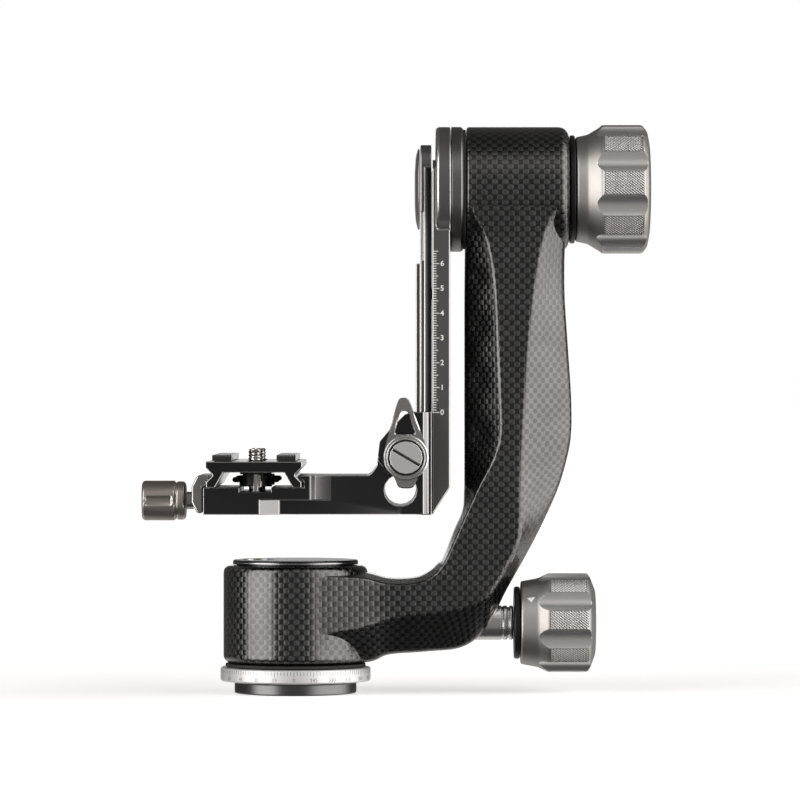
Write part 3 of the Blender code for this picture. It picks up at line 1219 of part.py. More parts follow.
def pin_places():
    return (("rail_jaw_pin_upper", CLAMP_Z + PIN_RISE), ("rail_jaw_pin_lower", CLAMP_Z - PIN_DROP))


def rail_clamp():
    """Near clamp plate with its lip, drawn in by the screw when the lever turns."""
    seam_y = -CRADLE_HALF + JAW_T
    edge_x = BLOCK_RIGHT_X - BLOCK_EDGE_SET
    jaw = slab("rail_jaw", rail_jaw_body, "XZ", [jaw_outline(0)], -CRADLE_HALF, seam_y, "dark anodised")
    chamfer = [
        (edge_x - BLOCK_CHAMFER, -CRADLE_HALF - OVERRUN),
        (edge_x - BLOCK_CHAMFER, -CRADLE_HALF),
        (edge_x, -CRADLE_HALF + BLOCK_CHAMFER),
        (BLOCK_RIGHT_X + OVERRUN, -CRADLE_HALF + BLOCK_CHAMFER),
        (BLOCK_RIGHT_X + OVERRUN, -CRADLE_HALF - OVERRUN),
    ]
    chamfer_ends = (CRADLE_BOTTOM_Z - OVERRUN, BLOCK_TOP_Z + OVERRUN)
    cut(jaw, slab("jaw chamfer", None, "XY", [chamfer], *chamfer_ends))
    side = PLATE_HALF + GAP
    taper = RAIL_T - RAIL_WING_T
    slant = GAP * 2**0.5
    lip_x = RAIL_X + RAIL_WING_T + slant - GAP
    lip = [
        (lip_x, seam_y - GAP),
        (BLOCK_RIGHT_X, seam_y - GAP),
        (BLOCK_RIGHT_X, -PLATE_HALF + taper - slant),
        (lip_x, -side),
    ]
    join(jaw, slab("jaw lip", None, "XY", [lip], CRADLE_BOTTOM_Z, BLOCK_TOP_Z))
    ends = (-CRADLE_HALF - OVERRUN, seam_y + OVERRUN)
    hole = slab("jaw finger hole", None, "XZ", [circle(HOLE_X, HOLE_Z, HOLE_R)], *ends)
    shank = turned("jaw screw hole", None, "Y", CLAMP_AXIS, rod(CLAMP_SHANK_R + GAP, *ends))
    cut(jaw, hole, shank)
    for name, height in pin_places():
        at = Vector((PIN_X, 0, height))
        start = seam_y - JAW_T / 2
        turned(name, rail_jaw_body, "Y", at, rod(PIN_R, start, start + PIN_L), "steel", PIN_STEPS)
        socket = rod(PIN_R + GAP, start - GAP, seam_y + OVERRUN)
        cut(jaw, turned(name + " socket", None, "Y", at, socket))

    washer_y = -CRADLE_HALF - GAP
    lever_y = washer_y - LEVER_WASHER_T - GAP
    ring_y = lever_y - LEVER_RING_T
    head_y = ring_y - GAP
    washer = tube(LEVER_WASHER_R, CLAMP_SHANK_R + GAP, washer_y - LEVER_WASHER_T, washer_y)
    turned("lever_washer", rail_jaw_body, "Y", CLAMP_AXIS, washer, "satin silver")
    lever(lever_y, ring_y)
    end = CRADLE_HALF - NUT_T - GAP
    screw = [
        (0, end + NUT_T),
        (CLAMP_SHANK_R, end + NUT_T),
        (CLAMP_SHANK_R, head_y),
        (CLAMP_HEAD_R, head_y),
        (CLAMP_HEAD_R, head_y - CLAMP_HEAD_T),
        (0, head_y - CLAMP_HEAD_T),
    ]
    clamp_screw = turned("rail_clamp_screw", lever_body, "Y", CLAMP_AXIS, screw, "satin silver")
    face_y = head_y - CLAMP_HEAD_T
    slot = block(
        "screw slot",
        None,
        (-CLAMP_HEAD_R - OVERRUN, face_y - OVERRUN, -CLAMP_SLOT_W / 2),
        (CLAMP_HEAD_R + OVERRUN, face_y + CLAMP_SLOT_DEPTH, CLAMP_SLOT_W / 2),
    )
    slot.location += CLAMP_AXIS
    slot.rotation_euler = (0, CLAMP_SLOT_TURN, 0)
    cut(clamp_screw, slot)
    nut = [circle(CLAMP_X, CLAMP_Z, NUT_R, NUT_SIDES), circle(CLAMP_X, CLAMP_Z, CLAMP_SHANK_R + GAP)]
    slab("rail_clamp_nut", cradle, "XZ", nut, CRADLE_HALF - NUT_T + GAP, CRADLE_HALF, "steel")


# Outline of the lever's blade round its pivot, and of its hole, as shares of the blade's height
BLADE_SHARES = (
    (-0.02, 1.18, 0.09),
    (-0.37, 0.06, 0.16),
    (-0.28, -0.31, 0.14),
    (-0.13, -0.53, 0.10),
    (0.15, -0.53, 0.10),
    (0.28, -0.31, 0.14),
    (0.37, 0.06, 0.16),
)
BLADE_HOLE_SHARES = ((-0.03, 0.80, 0.05), (-0.20, 0.39, 0.05), (0.16, 0.39, 0.05))


def lever(lever_y, ring_y):
    """Blade with a three-cornered hole, on a ring round the clamp screw's head."""
    outlines = [
        [(CLAMP_X + x * LEVER_TALL, CLAMP_Z + z * LEVER_TALL, r * LEVER_TALL) for x, z, r in shares]
        for shares in (BLADE_SHARES, BLADE_HOLE_SHARES)
    ]
    blade = slab("rail_clamp_lever", lever_body, "XZ", outlines, lever_y - LEVER_BLADE_T, lever_y, "titanium")
    ring = rod(LEVER_RING_R, ring_y, lever_y - LEVER_BLADE_T / 2)
    join(blade, turned("lever ring", None, "Y", CLAMP_AXIS, ring, steps=MIDDLE_STEPS))
    ends = (ring_y - OVERRUN, ring_y + LEVER_RING_T / 4, lever_y + OVERRUN)
    room = stepped(CLAMP_HEAD_R + GAP, CLAMP_SHANK_R + GAP, *ends)
    cut(blade, turned("lever bore", None, "Y", CLAMP_AXIS, room))


def plate_clamp():
    """Moving jaw that holds the lens plate's dovetail, with its screw, knob and guide pins."""
    low = CRADLE_BOTTOM_Z + PLATE_JAW_RISE
    top = low + PLATE_JAW_H
    hook_half = LENS_WAIST_HALF + 2 * GAP
    foot_half = LENS_FOOT_HALF + 2 * GAP
    outline = [
        (PLATE_JAW_X + PLATE_JAW_EDGE, low),
        (PLATE_JAW_RIGHT_X, low),
        (PLATE_JAW_RIGHT_X, BED_FLOOR_Z + GAP),
        (LENS_X - foot_half, BED_FLOOR_Z + GAP),
        (LENS_X - foot_half, LENS_Z + LENS_FOOT_H),
        (LENS_X - hook_half, top),
        (PLATE_JAW_X + PLATE_JAW_EDGE, top),
        (PLATE_JAW_X, top - 2 * PLATE_JAW_EDGE),
        (PLATE_JAW_X, low + 2 * PLATE_JAW_EDGE),
    ]
    jaw = slab("plate_jaw", plate_jaw_body, "XZ", [outline], -PLATE_JAW_HALF, PLATE_JAW_HALF, "dark anodised")
    bore = rod(PLATE_SCREW_R + GAP, PLATE_JAW_X - OVERRUN, BED_X)
    cut(jaw, turned("jaw bore", None, "X", PLATE_SCREW_AXIS, bore))
    pin_start = PLATE_JAW_X + PLATE_JAW_T / 3
    for name, y in (("near", -JAW_PIN_Y), ("far", JAW_PIN_Y)):
        at = PLATE_SCREW_AXIS + Vector((0, y, 0))
        pin = rod(JAW_PIN_R, pin_start, pin_start + JAW_PIN_L)
        turned(f"plate_jaw_pin_{name}", plate_jaw_body, "X", at, pin, "steel")
        socket = rod(JAW_PIN_R + GAP, pin_start - GAP, BED_X)
        cut(jaw, turned(f"{name} jaw pin socket", None, "X", at, socket))

    left = PLATE_KNOB_RIGHT_X - PLATE_KNOB_L
    screw_left = left + PLATE_KNOB_L / 3
    neck_left = PLATE_KNOB_RIGHT_X + GAP
    neck_right = PLATE_JAW_X - GAP
    end = BED_X + PLATE_SCREW_DEPTH
    screw = [
        (0, end),
        (PLATE_SCREW_R, end),
        (PLATE_SCREW_R, neck_right),
        (PLATE_NECK_R, neck_right),
        (PLATE_NECK_R, neck_left),
        (PLATE_SCREW_R, neck_left),
        (PLATE_SCREW_R, screw_left),
        (0, screw_left),
    ]
    turned("plate_clamp_screw", plate_knob_body, "X", PLATE_SCREW_AXIS, screw, "steel")
    collar_x = PLATE_KNOB_RIGHT_X - PLATE_KNOB_COLLAR_L
    groove_r = PLATE_KNOB_COLLAR_R - PLATE_KNOB_GROOVE
    room_r = PLATE_SCREW_R + GAP
    profile = [
        (0, screw_left - GAP),
        (room_r, screw_left - GAP),
        (room_r, PLATE_KNOB_RIGHT_X),
        (PLATE_KNOB_COLLAR_R - PLATE_KNOB_EDGE, PLATE_KNOB_RIGHT_X),
        (PLATE_KNOB_COLLAR_R, PLATE_KNOB_RIGHT_X - PLATE_KNOB_EDGE),
        (PLATE_KNOB_COLLAR_R, collar_x + PLATE_KNOB_GROOVE),
        (groove_r, collar_x),
        (PLATE_KNOB_R, collar_x - PLATE_KNOB_GROOVE),
        (PLATE_KNOB_R, left + PLATE_KNOB_EDGE),
        (PLATE_KNOB_R - PLATE_KNOB_EDGE, left),
        (0, left),
    ]
    name = "plate_clamp_knob"
    knob = turned(name, plate_knob_body, "X", PLATE_SCREW_AXIS, profile, "titanium", MIDDLE_STEPS)
    reach = PLATE_KNOB_R - PLATE_SCALLOP_DEPTH + PLATE_SCALLOP_R
    for i in range(PLATE_KNOB_SCALLOPS):
        turn = 2 * pi * i / PLATE_KNOB_SCALLOPS
        at = PLATE_SCREW_AXIS + Vector((0, -cos(turn), sin(turn))) * reach
        ends = (left + PLATE_KNOB_EDGE, collar_x - 2 * PLATE_KNOB_GROOVE)
        flute = rod(PLATE_SCALLOP_R, *ends, PLATE_KNOB_EDGE)
        cut(knob, turned(f"knob flute {i + 1}", None, "X", at, flute))


def lens_plate():
    """Slotted dovetail plate with its two rubber pads."""
    waist_z = LENS_Z + LENS_WAIST_RISE
    half = [
        (ARCH_FOOT_HALF, LENS_Z),
        (LENS_FOOT_HALF, LENS_Z),
        (LENS_FOOT_HALF, LENS_Z + LENS_FOOT_H),
        (LENS_WAIST_HALF, waist_z),
        (LENS_WAIST_HALF, waist_z + LENS_WAIST_H),
        (LENS_TOP_HALF, LENS_TOP_Z - LENS_EDGE_H),
        (LENS_TOP_HALF, LENS_TOP_Z),
    ]
    outline = [(LENS_X + x, z) for x, z in half]
    outline += [(LENS_X - x, z) for x, z in half[::-1]]
    outline += [(LENS_X - ARCH_HALF, ARCH_Z), (LENS_X + ARCH_HALF, ARCH_Z)]
    plate = slab("lens_plate", lens_plate_body, "XZ", [outline], -LENS_HALF_L, LENS_HALF_L, "dark anodised")
    slot_end_r = SLOT_HALF * SLOT_END_SHARE
    slot = [
        (LENS_X - SLOT_HALF, -SLOT_HALF_L, slot_end_r),
        (LENS_X + SLOT_HALF, -SLOT_HALF_L, slot_end_r),
        (LENS_X + SLOT_HALF, SLOT_HALF_L, slot_end_r),
        (LENS_X - SLOT_HALF, SLOT_HALF_L, slot_end_r),
    ]
    cut(plate, slab("plate slot", None, "XY", [slot], ARCH_Z - OVERRUN, LENS_TOP_Z + OVERRUN))
    for name, left, right in (("left", -PAD_OUT, -PAD_IN), ("right", PAD_IN, PAD_OUT)):
        low = (LENS_X + left, -PAD_HALF_L, PAD_Z)
        high = (LENS_X + right, PAD_HALF_L, PAD_Z + PAD_T)
        block(f"grip_pad_{name}", lens_plate_body, low, high, "black rubber")


def camera_screw(name, y):
    """Captive camera screw that slides in the plate's slot, with its washer and folded ring."""
    carriage = body(f"{name}_slider", (LENS_X, y, WASHER_Z), lens_plate_body)
    turning = body(f"{name}_screw", (LENS_X, y, WASHER_Z), carriage)
    at = Vector((LENS_X, y, 0))
    washer = tube(WASHER_R, STUD_R + GAP, WASHER_Z, WASHER_TOP_Z)
    turned(f"screw_washer_{name}", carriage, "Z", at, washer, "steel")
    stud = [
        (0, STUD_TIP_Z),
        (STUD_R - STUD_EDGE, STUD_TIP_Z),
        (STUD_R, STUD_TIP_Z - STUD_EDGE),
        (STUD_R, PAD_Z),
        (STUD_NECK_R, PAD_Z - STUD_EDGE),
        (STUD_NECK_R, STUD_COLLAR_TOP_Z),
        (STUD_COLLAR_R, STUD_COLLAR_TOP_Z),
        (STUD_COLLAR_R, STUD_COLLAR_Z),
        (STUD_HEAD_R, STUD_COLLAR_Z),
        (STUD_HEAD_R, STUD_HEAD_Z + STUD_EDGE),
        (STUD_HEAD_R - STUD_EDGE, STUD_HEAD_Z),
        (0, STUD_HEAD_Z),
    ]
    turned(f"camera_screw_{name}", turning, "Z", at, stud, "steel")
    wire = bpy.data.curves.new(f"{name} ring wire", "CURVE")
    wire.dimensions = "3D"
    wire.bevel_depth = BAIL_WIRE_R
    wire.bevel_resolution = 1
    wire.use_fill_caps = True
    spline = wire.splines.new("POLY")
    end = STUD_COLLAR_R + GAP
    turns = [pi * i / BAIL_STEPS for i in range(BAIL_STEPS + 1)]
    path = [(end, 0), *[(BAIL_R * cos(turn), BAIL_R * sin(turn)) for turn in turns], (-end, 0)]
    spline.points.add(len(path) - 1)
    for point, place in zip(spline.points, path):
        point.co = (*place, 0, 1)
    wire_z = (STUD_COLLAR_Z + STUD_COLLAR_TOP_Z) / 2
    ring = bpy.data.objects.new(f"screw_ring_{name}", meshed(wire))
    enter(ring, turning, (LENS_X, y, wire_z), "steel")


pan_base()
pan_bearings()
top_cap()
carbon_arm()
tilt_bearings()
swing_parts()
tilt_lock()
pan_lock()
cradle_bracket()
rail_clamp()
plate_clamp()
lens_plate()
camera_screw("front", -STUD_Y)
camera_screw("rear", STUD_Y)
settle()
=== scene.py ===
from math import pi, radians

import bmesh
import bpy
import numpy as np
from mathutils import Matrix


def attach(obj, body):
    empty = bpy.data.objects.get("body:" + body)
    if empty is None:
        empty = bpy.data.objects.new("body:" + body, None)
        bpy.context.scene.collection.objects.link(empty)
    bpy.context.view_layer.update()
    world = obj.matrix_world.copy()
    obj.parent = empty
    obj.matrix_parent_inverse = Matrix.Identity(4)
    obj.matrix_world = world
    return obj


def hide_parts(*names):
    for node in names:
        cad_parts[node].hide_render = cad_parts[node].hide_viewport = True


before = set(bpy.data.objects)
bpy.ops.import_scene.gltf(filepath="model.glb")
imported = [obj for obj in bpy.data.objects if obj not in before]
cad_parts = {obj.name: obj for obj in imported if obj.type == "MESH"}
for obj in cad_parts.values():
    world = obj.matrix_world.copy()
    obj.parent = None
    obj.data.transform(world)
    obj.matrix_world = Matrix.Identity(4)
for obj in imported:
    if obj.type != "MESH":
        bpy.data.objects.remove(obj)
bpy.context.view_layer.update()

# ----------------------------------------
# Studio. A long lens looks level along +Y at the head from two metres. A tall soft box stands to the left and
# a wider one to the right, with a weak light in front, a small one above it and a glow off the floor behind.
# The room behind the camera is dim, and the floor and the backdrop are white.
scene = bpy.context.scene
scene.view_settings.view_transform = "Standard"


def placed(name, data):
    """An object in the scene that shows a camera, a mesh or a curve."""
    thing = bpy.data.objects.new(name, data)
    scene.collection.objects.link(thing)
    return thing


camera = placed("camera", bpy.data.cameras.new("camera"))
camera.location = (0.0425, -2.0, 0.1191)
camera.rotation_euler = (pi / 2, 0, 0)
camera.data.lens = 221.1
camera.data.sensor_width = 36
camera.data.clip_start = 0.05
scene.camera = camera


def feed(tree, step, inputs):
    """Gives a node its inputs: a link where the value is a socket, and else the plain value."""
    for title, value in inputs.items():
        if isinstance(value, bpy.types.NodeSocket):
            tree.links.new(value, step.inputs[title])
        else:
            step.inputs[title].default_value = value
    return step


def node(tree, kind, inputs, **settings):
    """A new node with these settings and inputs."""
    step = tree.nodes.new("ShaderNode" + kind)
    for title, value in settings.items():
        setattr(step, title, value)
    return feed(tree, step, inputs)


def worked(tree, operation, *values):
    """One number worked out from others: each value is a socket or a plain number."""
    return node(tree, "Math", dict(enumerate(values)), operation=operation).outputs["Value"]


def times(tree, *values):
    """The product of two numbers."""
    return worked(tree, "MULTIPLY", *values)


def ramp(tree, value, start, end, low=0.0, high=1.0):
    """Runs smoothly from `low` to `high` as the value goes from `start` to `end`."""
    inputs = {"Value": value, "From Min": start, "From Max": end, "To Min": low, "To Max": high}
    return node(tree, "MapRange", inputs, interpolation_type="SMOOTHSTEP").outputs["Result"]


def soft_box(sides, ends, soft, brightness):
    """A lit window in the room, between two bearings and two heights in degrees, with soft edges."""
    left, right, low, high = (radians(angle) for angle in (*sides, *ends))
    blur = radians(soft)
    level = brightness
    for value, edge, sign in ((bearing, left, 1), (bearing, right, -1), (height, low, 1), (height, high, -1)):
        level = times(sky, ramp(sky, value, edge - sign * blur, edge + sign * blur), level)
    return level


# Bearings are from the camera's side, to the right, and heights are above level.
world = bpy.data.worlds.new("studio")
scene.world = world
world.use_nodes = True
sky = world.node_tree
sky.nodes.clear()
direction = node(sky, "TexCoord", {}).outputs["Generated"]
ways = node(sky, "SeparateXYZ", {"Vector": direction}).outputs
bearing = worked(sky, "ARCTAN2", ways["X"], times(sky, ways["Y"], -1.0))
height = worked(sky, "ARCSINE", ways["Z"])
walls = worked(sky, "ADD", times(sky, ramp(sky, height, radians(-60), radians(-15)), 0.03), 0.05)
glow = times(sky, ramp(sky, ways["Y"], 0.1, 0.5), ramp(sky, ways["Z"], -0.1, -0.35))
light = worked(sky, "ADD", walls, times(sky, glow, 0.5))
for window in (((-82, -36), (-24, 50), 6, 2.8), ((34, 112), (-32, 56), 14, 2.1),
               ((-36, 30), (-36, 60), 14, 0.10), ((-26, 26), (34, 64), 8, 0.24)):
    light = worked(sky, "ADD", light, soft_box(*window))
room = node(sky, "Background", {"Color": (1.0, 0.97, 0.94, 1), "Strength": light})

# The backdrop is white, behind the head in what metal and glass show as well as in the picture.
path = node(sky, "LightPath", {}).outputs
behind = times(sky, path["Is Glossy Ray"], ramp(sky, ways["Y"], 0.965, 0.99))
seen = worked(sky, "MAXIMUM", path["Is Camera Ray"], worked(sky, "MAXIMUM", path["Is Transmission Ray"], behind))
white = node(sky, "Background", {"Color": (1, 1, 1, 1)})
choice = node(sky, "MixShader", {"Fac": seen, 1: room.outputs["Background"], 2: white.outputs["Background"]})
node(sky, "OutputWorld", {"Surface": choice.outputs["Shader"]})


def surface(name, inputs):
    """A material whose shader has these inputs, with its tree and that shader."""
    material = bpy.data.materials.new(name)
    material.use_nodes = True
    tree = material.node_tree
    return material, tree, feed(tree, tree.nodes["Principled BSDF"], inputs)


# White paper on the floor. It takes the head's shadow, but the room shows through it in reflections.
paper, tree, shader = surface("white paper", {
    "Base Color": (0.80, 0.80, 0.80, 1), "Roughness": 0.9, "Specular IOR Level": 0.0, "Emission Color": (1, 1, 1, 1)})
path = node(tree, "LightPath", {}).outputs
lift = worked(tree, "MAXIMUM", path["Is Camera Ray"], path["Is Transmission Ray"])
feed(tree, shader, {"Emission Strength": times(tree, lift, 0.55)})
floor_half = 60.0
floor_mesh = bpy.data.meshes.new("floor")
floor_mesh.from_pydata(
    [(x * floor_half, y * floor_half, 0) for x, y in ((-1, -1), (1, -1), (1, 1), (-1, 1))], [], [(0, 1, 2, 3)])
floor_mesh.materials.append(paper)
floor = placed("floor", floor_mesh)
floor.visible_glossy = False
floor.visible_shadow = False

# ----------------------------------------
# Foot of the pan base: a low turned disc of grey anodised aluminium, with a steel threaded insert pressed into
# its middle. Neither turns, and they carry the whole head.


def effect(name, inputs, outputs):
    """An empty node group with named inputs, each with its value, and named outputs. With it come what it is given
    and the node that takes what it makes."""
    group = bpy.data.node_groups.new(name, "ShaderNodeTree")
    for title, kind, value in inputs:
        socket = group.interface.new_socket(title, in_out="INPUT", socket_type="NodeSocket" + kind)
        if value is not None:
            socket.default_value = value
    for title, kind in outputs:
        group.interface.new_socket(title, in_out="OUTPUT", socket_type="NodeSocket" + kind)
    return group, group.nodes.new("NodeGroupInput").outputs, group.nodes.new("NodeGroupOutput")


def speckle(tree, vector, scale, detail):
    """Noise between 0 and 1."""
    return node(tree, "TexNoise", {"Vector": vector, "Scale": scale, "Detail": detail}).outputs["Fac"]


def scaled(tree, colour, factor):
    """A colour times a number."""
    return node(tree, "VectorMath", {0: colour, "Scale": factor}, operation="SCALE").outputs["Vector"]


# Satin grain: a fine noise is the height of a blasted or anodised skin, and a broad one shades colour and gloss.
satin_grain, given, made = effect(
    "satin grain",
    [("Vector", "Vector", None), ("Colour", "Color", (0.1, 0.1, 0.1, 1)), ("Roughness", "Float", 0.4),
     ("Grain", "Float", 9000.0), ("Mottle", "Float", 0.1)],
    [("Colour", "Color"), ("Roughness", "Float"), ("Height", "Float")],
)
broad = speckle(satin_grain, given["Vector"], 70.0, 3.0)
patchy = times(satin_grain, worked(satin_grain, "SUBTRACT", broad, 0.5), given["Mottle"])
tint = worked(satin_grain, "ADD", times(satin_grain, patchy, 2.0), 1.0)
feed(satin_grain, made, {
    "Colour": scaled(satin_grain, given["Colour"], tint),
    "Roughness": worked(satin_grain, "SUBTRACT", given["Roughness"], patchy),
    "Height": speckle(satin_grain, given["Vector"], given["Grain"], 2.0)})


def metal(name, colour, roughness, metallic=1.0, grain=9000.0, depth=0.00001, mottle=0.1):
    """A satin metal or plastic: its colour, gloss and grain, on the piece's own coordinates in metres."""
    material, tree, shader = surface(name, {"Metallic": metallic})
    grained = node(tree, "Group", {
        "Vector": node(tree, "TexCoord", {}).outputs["Object"], "Colour": (*colour, 1), "Roughness": roughness,
        "Grain": grain, "Mottle": mottle}, node_tree=satin_grain).outputs
    bump = node(tree, "Bump", {"Distance": depth, "Height": grained["Height"]})
    feed(tree, shader, {
        "Base Color": grained["Colour"], "Roughness": grained["Roughness"], "Normal": bump.outputs["Normal"]})
    return material


# Turned lines: noise drawn out round the piece and tight along its profile, as a lathe tool leaves it.
lathe_lines, given, made = effect(
    "turned lines",
    [("Vector", "Vector", None), ("Lines", "Float", 6000.0), ("Roughness", "Float", 0.3)],
    [("Roughness", "Float"), ("Height", "Float")],
)
spot = node(lathe_lines, "SeparateXYZ", {"Vector": given["Vector"]}).outputs
drawn = node(lathe_lines, "CombineXYZ", {
    "X": times(lathe_lines, spot["X"], 30.0),
    "Y": times(lathe_lines, spot["Y"], given["Lines"])})
lines = speckle(lathe_lines, drawn.outputs["Vector"], 1.0, 3.0)
streak = times(lathe_lines, worked(lathe_lines, "SUBTRACT", lines, 0.5), 0.16)
feed(lathe_lines, made, {"Roughness": worked(lathe_lines, "ADD", given["Roughness"], streak), "Height": lines})


def turned_metal(name, colour, roughness, depth=0.000012, metallic=1.0):
    """Satin metal with lathe lines round it, read from the piece's own map."""
    material = metal(name, colour, roughness, metallic, depth=depth, mottle=0.08)
    tree = material.node_tree
    chart = node(tree, "UVMap", {}, uv_map="UVMap").outputs["UV"]
    marks = node(tree, "Group", {"Vector": chart, "Roughness": roughness}, node_tree=lathe_lines).outputs
    feed(tree, tree.nodes["Principled BSDF"], {"Roughness": marks["Roughness"]})
    feed(tree, tree.nodes["Bump"], {"Height": marks["Height"]})
    return material


def welded(mesh, gap=1e-7):
    """Points that fall together become one, faces turn outwards, and only real corners stay sharp."""
    clean = bmesh.new()
    clean.from_mesh(mesh)
    bmesh.ops.remove_doubles(clean, verts=clean.verts, dist=gap)
    bmesh.ops.dissolve_degenerate(clean, edges=clean.edges, dist=gap)
    bmesh.ops.recalc_face_normals(clean, faces=clean.faces)
    clean.to_mesh(mesh)
    clean.free()
    mesh.shade_smooth()
    mesh.set_sharp_from_angle(angle=radians(38))
    return mesh


def skin(name, points, unrolled, zones=None):
    """A grid of points, rows by columns, as one mesh. Four neighbours are a face, and the last column joins the
    first. The map has one column more than the points."""
    rows, columns = points.shape[:2]
    index = np.arange(rows * columns).reshape(rows, columns)
    index = np.hstack([index, index[:, :1]])
    place = np.arange(rows * (columns + 1)).reshape(rows, columns + 1)

    def corners(grid):
        return np.stack([grid[:-1, :-1], grid[:-1, 1:], grid[1:, 1:], grid[1:, :-1]], -1).reshape(-1, 4)

    mesh = bpy.data.meshes.new(name)
    mesh.from_pydata(points.reshape(-1, 3).tolist(), [], corners(index).tolist())
    chart = mesh.uv_layers.new(name="UVMap")
    chart.uv.foreach_set("vector", unrolled.reshape(-1, 2)[corners(place).ravel()].astype(np.float32).ravel())
    if zones is not None:
        mesh.polygons.foreach_set("material_index", zones.ravel().astype(np.int32))
    return welded(mesh)


def set_up(name, mesh, body, slot, finishes, *nodes):
    """The piece that the mesh makes: its finishes, the body it moves with, and the nodes it stands for."""
    piece = placed(name, mesh)
    for finish in finishes[len(mesh.materials):]:
        mesh.materials.append(finish)
    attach(piece, body)
    if nodes:
        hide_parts(*nodes)
    return piece


def eased(corners, ease):
    """A profile whose inner corners are short parabolas, from a point at most `ease` before the corner to one as far
    after it."""
    corners = np.asarray(corners, float)
    here, before, after = corners[1:-1], corners[:-2] - corners[1:-1], corners[2:] - corners[1:-1]
    start = here + before * np.minimum(0.45, ease / np.linalg.norm(before, axis=1))[:, None]
    end = here + after * np.minimum(0.45, ease / np.linalg.norm(after, axis=1))[:, None]
    share = np.linspace(0, 1, 5)[None, :, None]
    arcs = start[:, None] * (1 - share) ** 2 + here[:, None] * 2 * share * (1 - share) + end[:, None] * share**2
    return np.vstack([corners[:1], arcs.reshape(-1, 2), corners[-1:]])


def around(axis, centre, along, radius, turn):
    """Points at a distance along the axis, at a radius and a turn from the front: towards +X on an upright axis, and
    upwards on a level one."""
    side, front = radius * np.sin(turn), -radius * np.cos(turn)
    along = along + 0 * turn
    shape = {"X": (along, front, side), "Z": (side, front, along), "Y": (side, along, -front)}[axis]
    return np.stack(shape, -1) + np.asarray(centre, float)


def turned(name, axis, centre, corners, ease=0.0003, steps=96, finish_of=None):
    """A profile of (distance along the axis, radius) carried once round the axis. The map is the length round the
    widest circle, and the length down the profile. `finish_of` gives the number of each row's finish from its middle
    distance and radius."""
    profile = eased(corners, ease)
    turn = np.linspace(0, 2 * pi, steps + 1)
    points = around(axis, centre, profile[:, :1], profile[:, 1:], turn[None, :-1])
    down = np.concatenate([[0], np.cumsum(np.linalg.norm(np.diff(profile, axis=0), axis=1))])
    chart = np.stack(np.broadcast_arrays(turn[None, :] * profile[:, 1].max(), down[:, None]), -1)
    if finish_of is None:
        return skin(name, points, chart)
    middle = (profile[:-1] + profile[1:]) / 2
    rows = np.asarray(finish_of(middle[:, 0], middle[:, 1]), int)
    return skin(name, points, chart, zones=np.broadcast_to(rows[:, None], (len(rows), steps)))


def ring_profile(radius, bore, low, high, chamfer=0.0):
    """Profile of a tube, from a point on its bore round the outer side and back, with both outer rims chamfered."""
    middle = (low + high) / 2
    rims = [(high, radius), (low, radius)]
    if chamfer:
        rims = [(high, radius - chamfer), (high - chamfer, radius), (low + chamfer, radius), (low, radius - chamfer)]
    return [(middle, bore), (high, bore), *rims, (low, bore), (middle, bore)]


grey_turned = turned_metal("grey anodised, turned", (0.17, 0.17, 0.175), 0.30)
steel = metal("steel", (0.56, 0.56, 0.57), 0.26, depth=0.000006)
foot = turned("foot_disc", "Z", (0, 0, 0), ring_profile(0.0248, 0.0073, 0, 0.0047, 0.0004), 0.0003, 128)
set_up("foot_disc", foot, "base", "grey_anodised", [grey_turned], "foot")
insert = turned("foot_insert", "Z", (0, 0, 0), ring_profile(0.0070, 0.0048, 0, 0.0120), 0.0003, 48)
set_up("foot_insert", insert, "base", "steel", [steel], "thread_insert")

# ----------------------------------------
# Graduated ring: a bright silver ring of bead-blasted aluminium clamped between foot and spindle. Its rim is
# engraved every 2.5 degrees, with a longer line and a number every 15 degrees.
ring_r = 0.0305
ring_low, ring_high, number_lift = 0.0050, 0.0106, 0.0015
silver = metal("bright silver, blasted", (0.86, 0.86, 0.87), 0.50, 0.75, depth=0.000008, mottle=0.03)
ink = metal("grey engraving", (0.22, 0.22, 0.23), 0.6, 0.0, mottle=0.02)
ring = turned("dial_ring", "Z", (0, 0, 0), ring_profile(ring_r, 0.0163, ring_low, ring_high, 0.0005), 0.0003, 180)
set_up("dial_ring", ring, "base", "satin_silver", [silver], "graduated_ring")


def marks_mesh(name, sheets):
    """Many small four-cornered sheets as one mesh. They come as an array of sheets by four corners by three."""
    mesh = bpy.data.meshes.new(name)
    count = len(sheets)
    mesh.from_pydata(sheets.reshape(-1, 3).tolist(), [], np.arange(4 * count).reshape(count, 4).tolist())
    return mesh


turns = radians(2.5) * np.arange(144)
tick_tall = np.where(np.arange(144) % 6 == 0, 0.0022, 0.0015)
proud_r = ring_r + 0.00003
half_turn = 0.00010 / ring_r
tick_high = ring_high - 0.0006
corners = [(-1, 0), (1, 0), (1, 1), (-1, 1)]
tick_sheets = np.stack(
    [around("Z", (0, 0, 0), tick_high - tick_tall * up, proud_r, turns + side * half_turn) for side, up in corners], 1)
set_up("dial_ring_lines", marks_mesh("dial_ring_lines", tick_sheets), "base", "satin_silver", [ink])


def seen_mesh(thing):
    """What an object shows, with its modifiers done, as a mesh. The object goes."""
    mesh = bpy.data.meshes.new_from_object(thing.evaluated_get(bpy.context.evaluated_depsgraph_get()))
    bpy.data.objects.remove(thing)
    return mesh


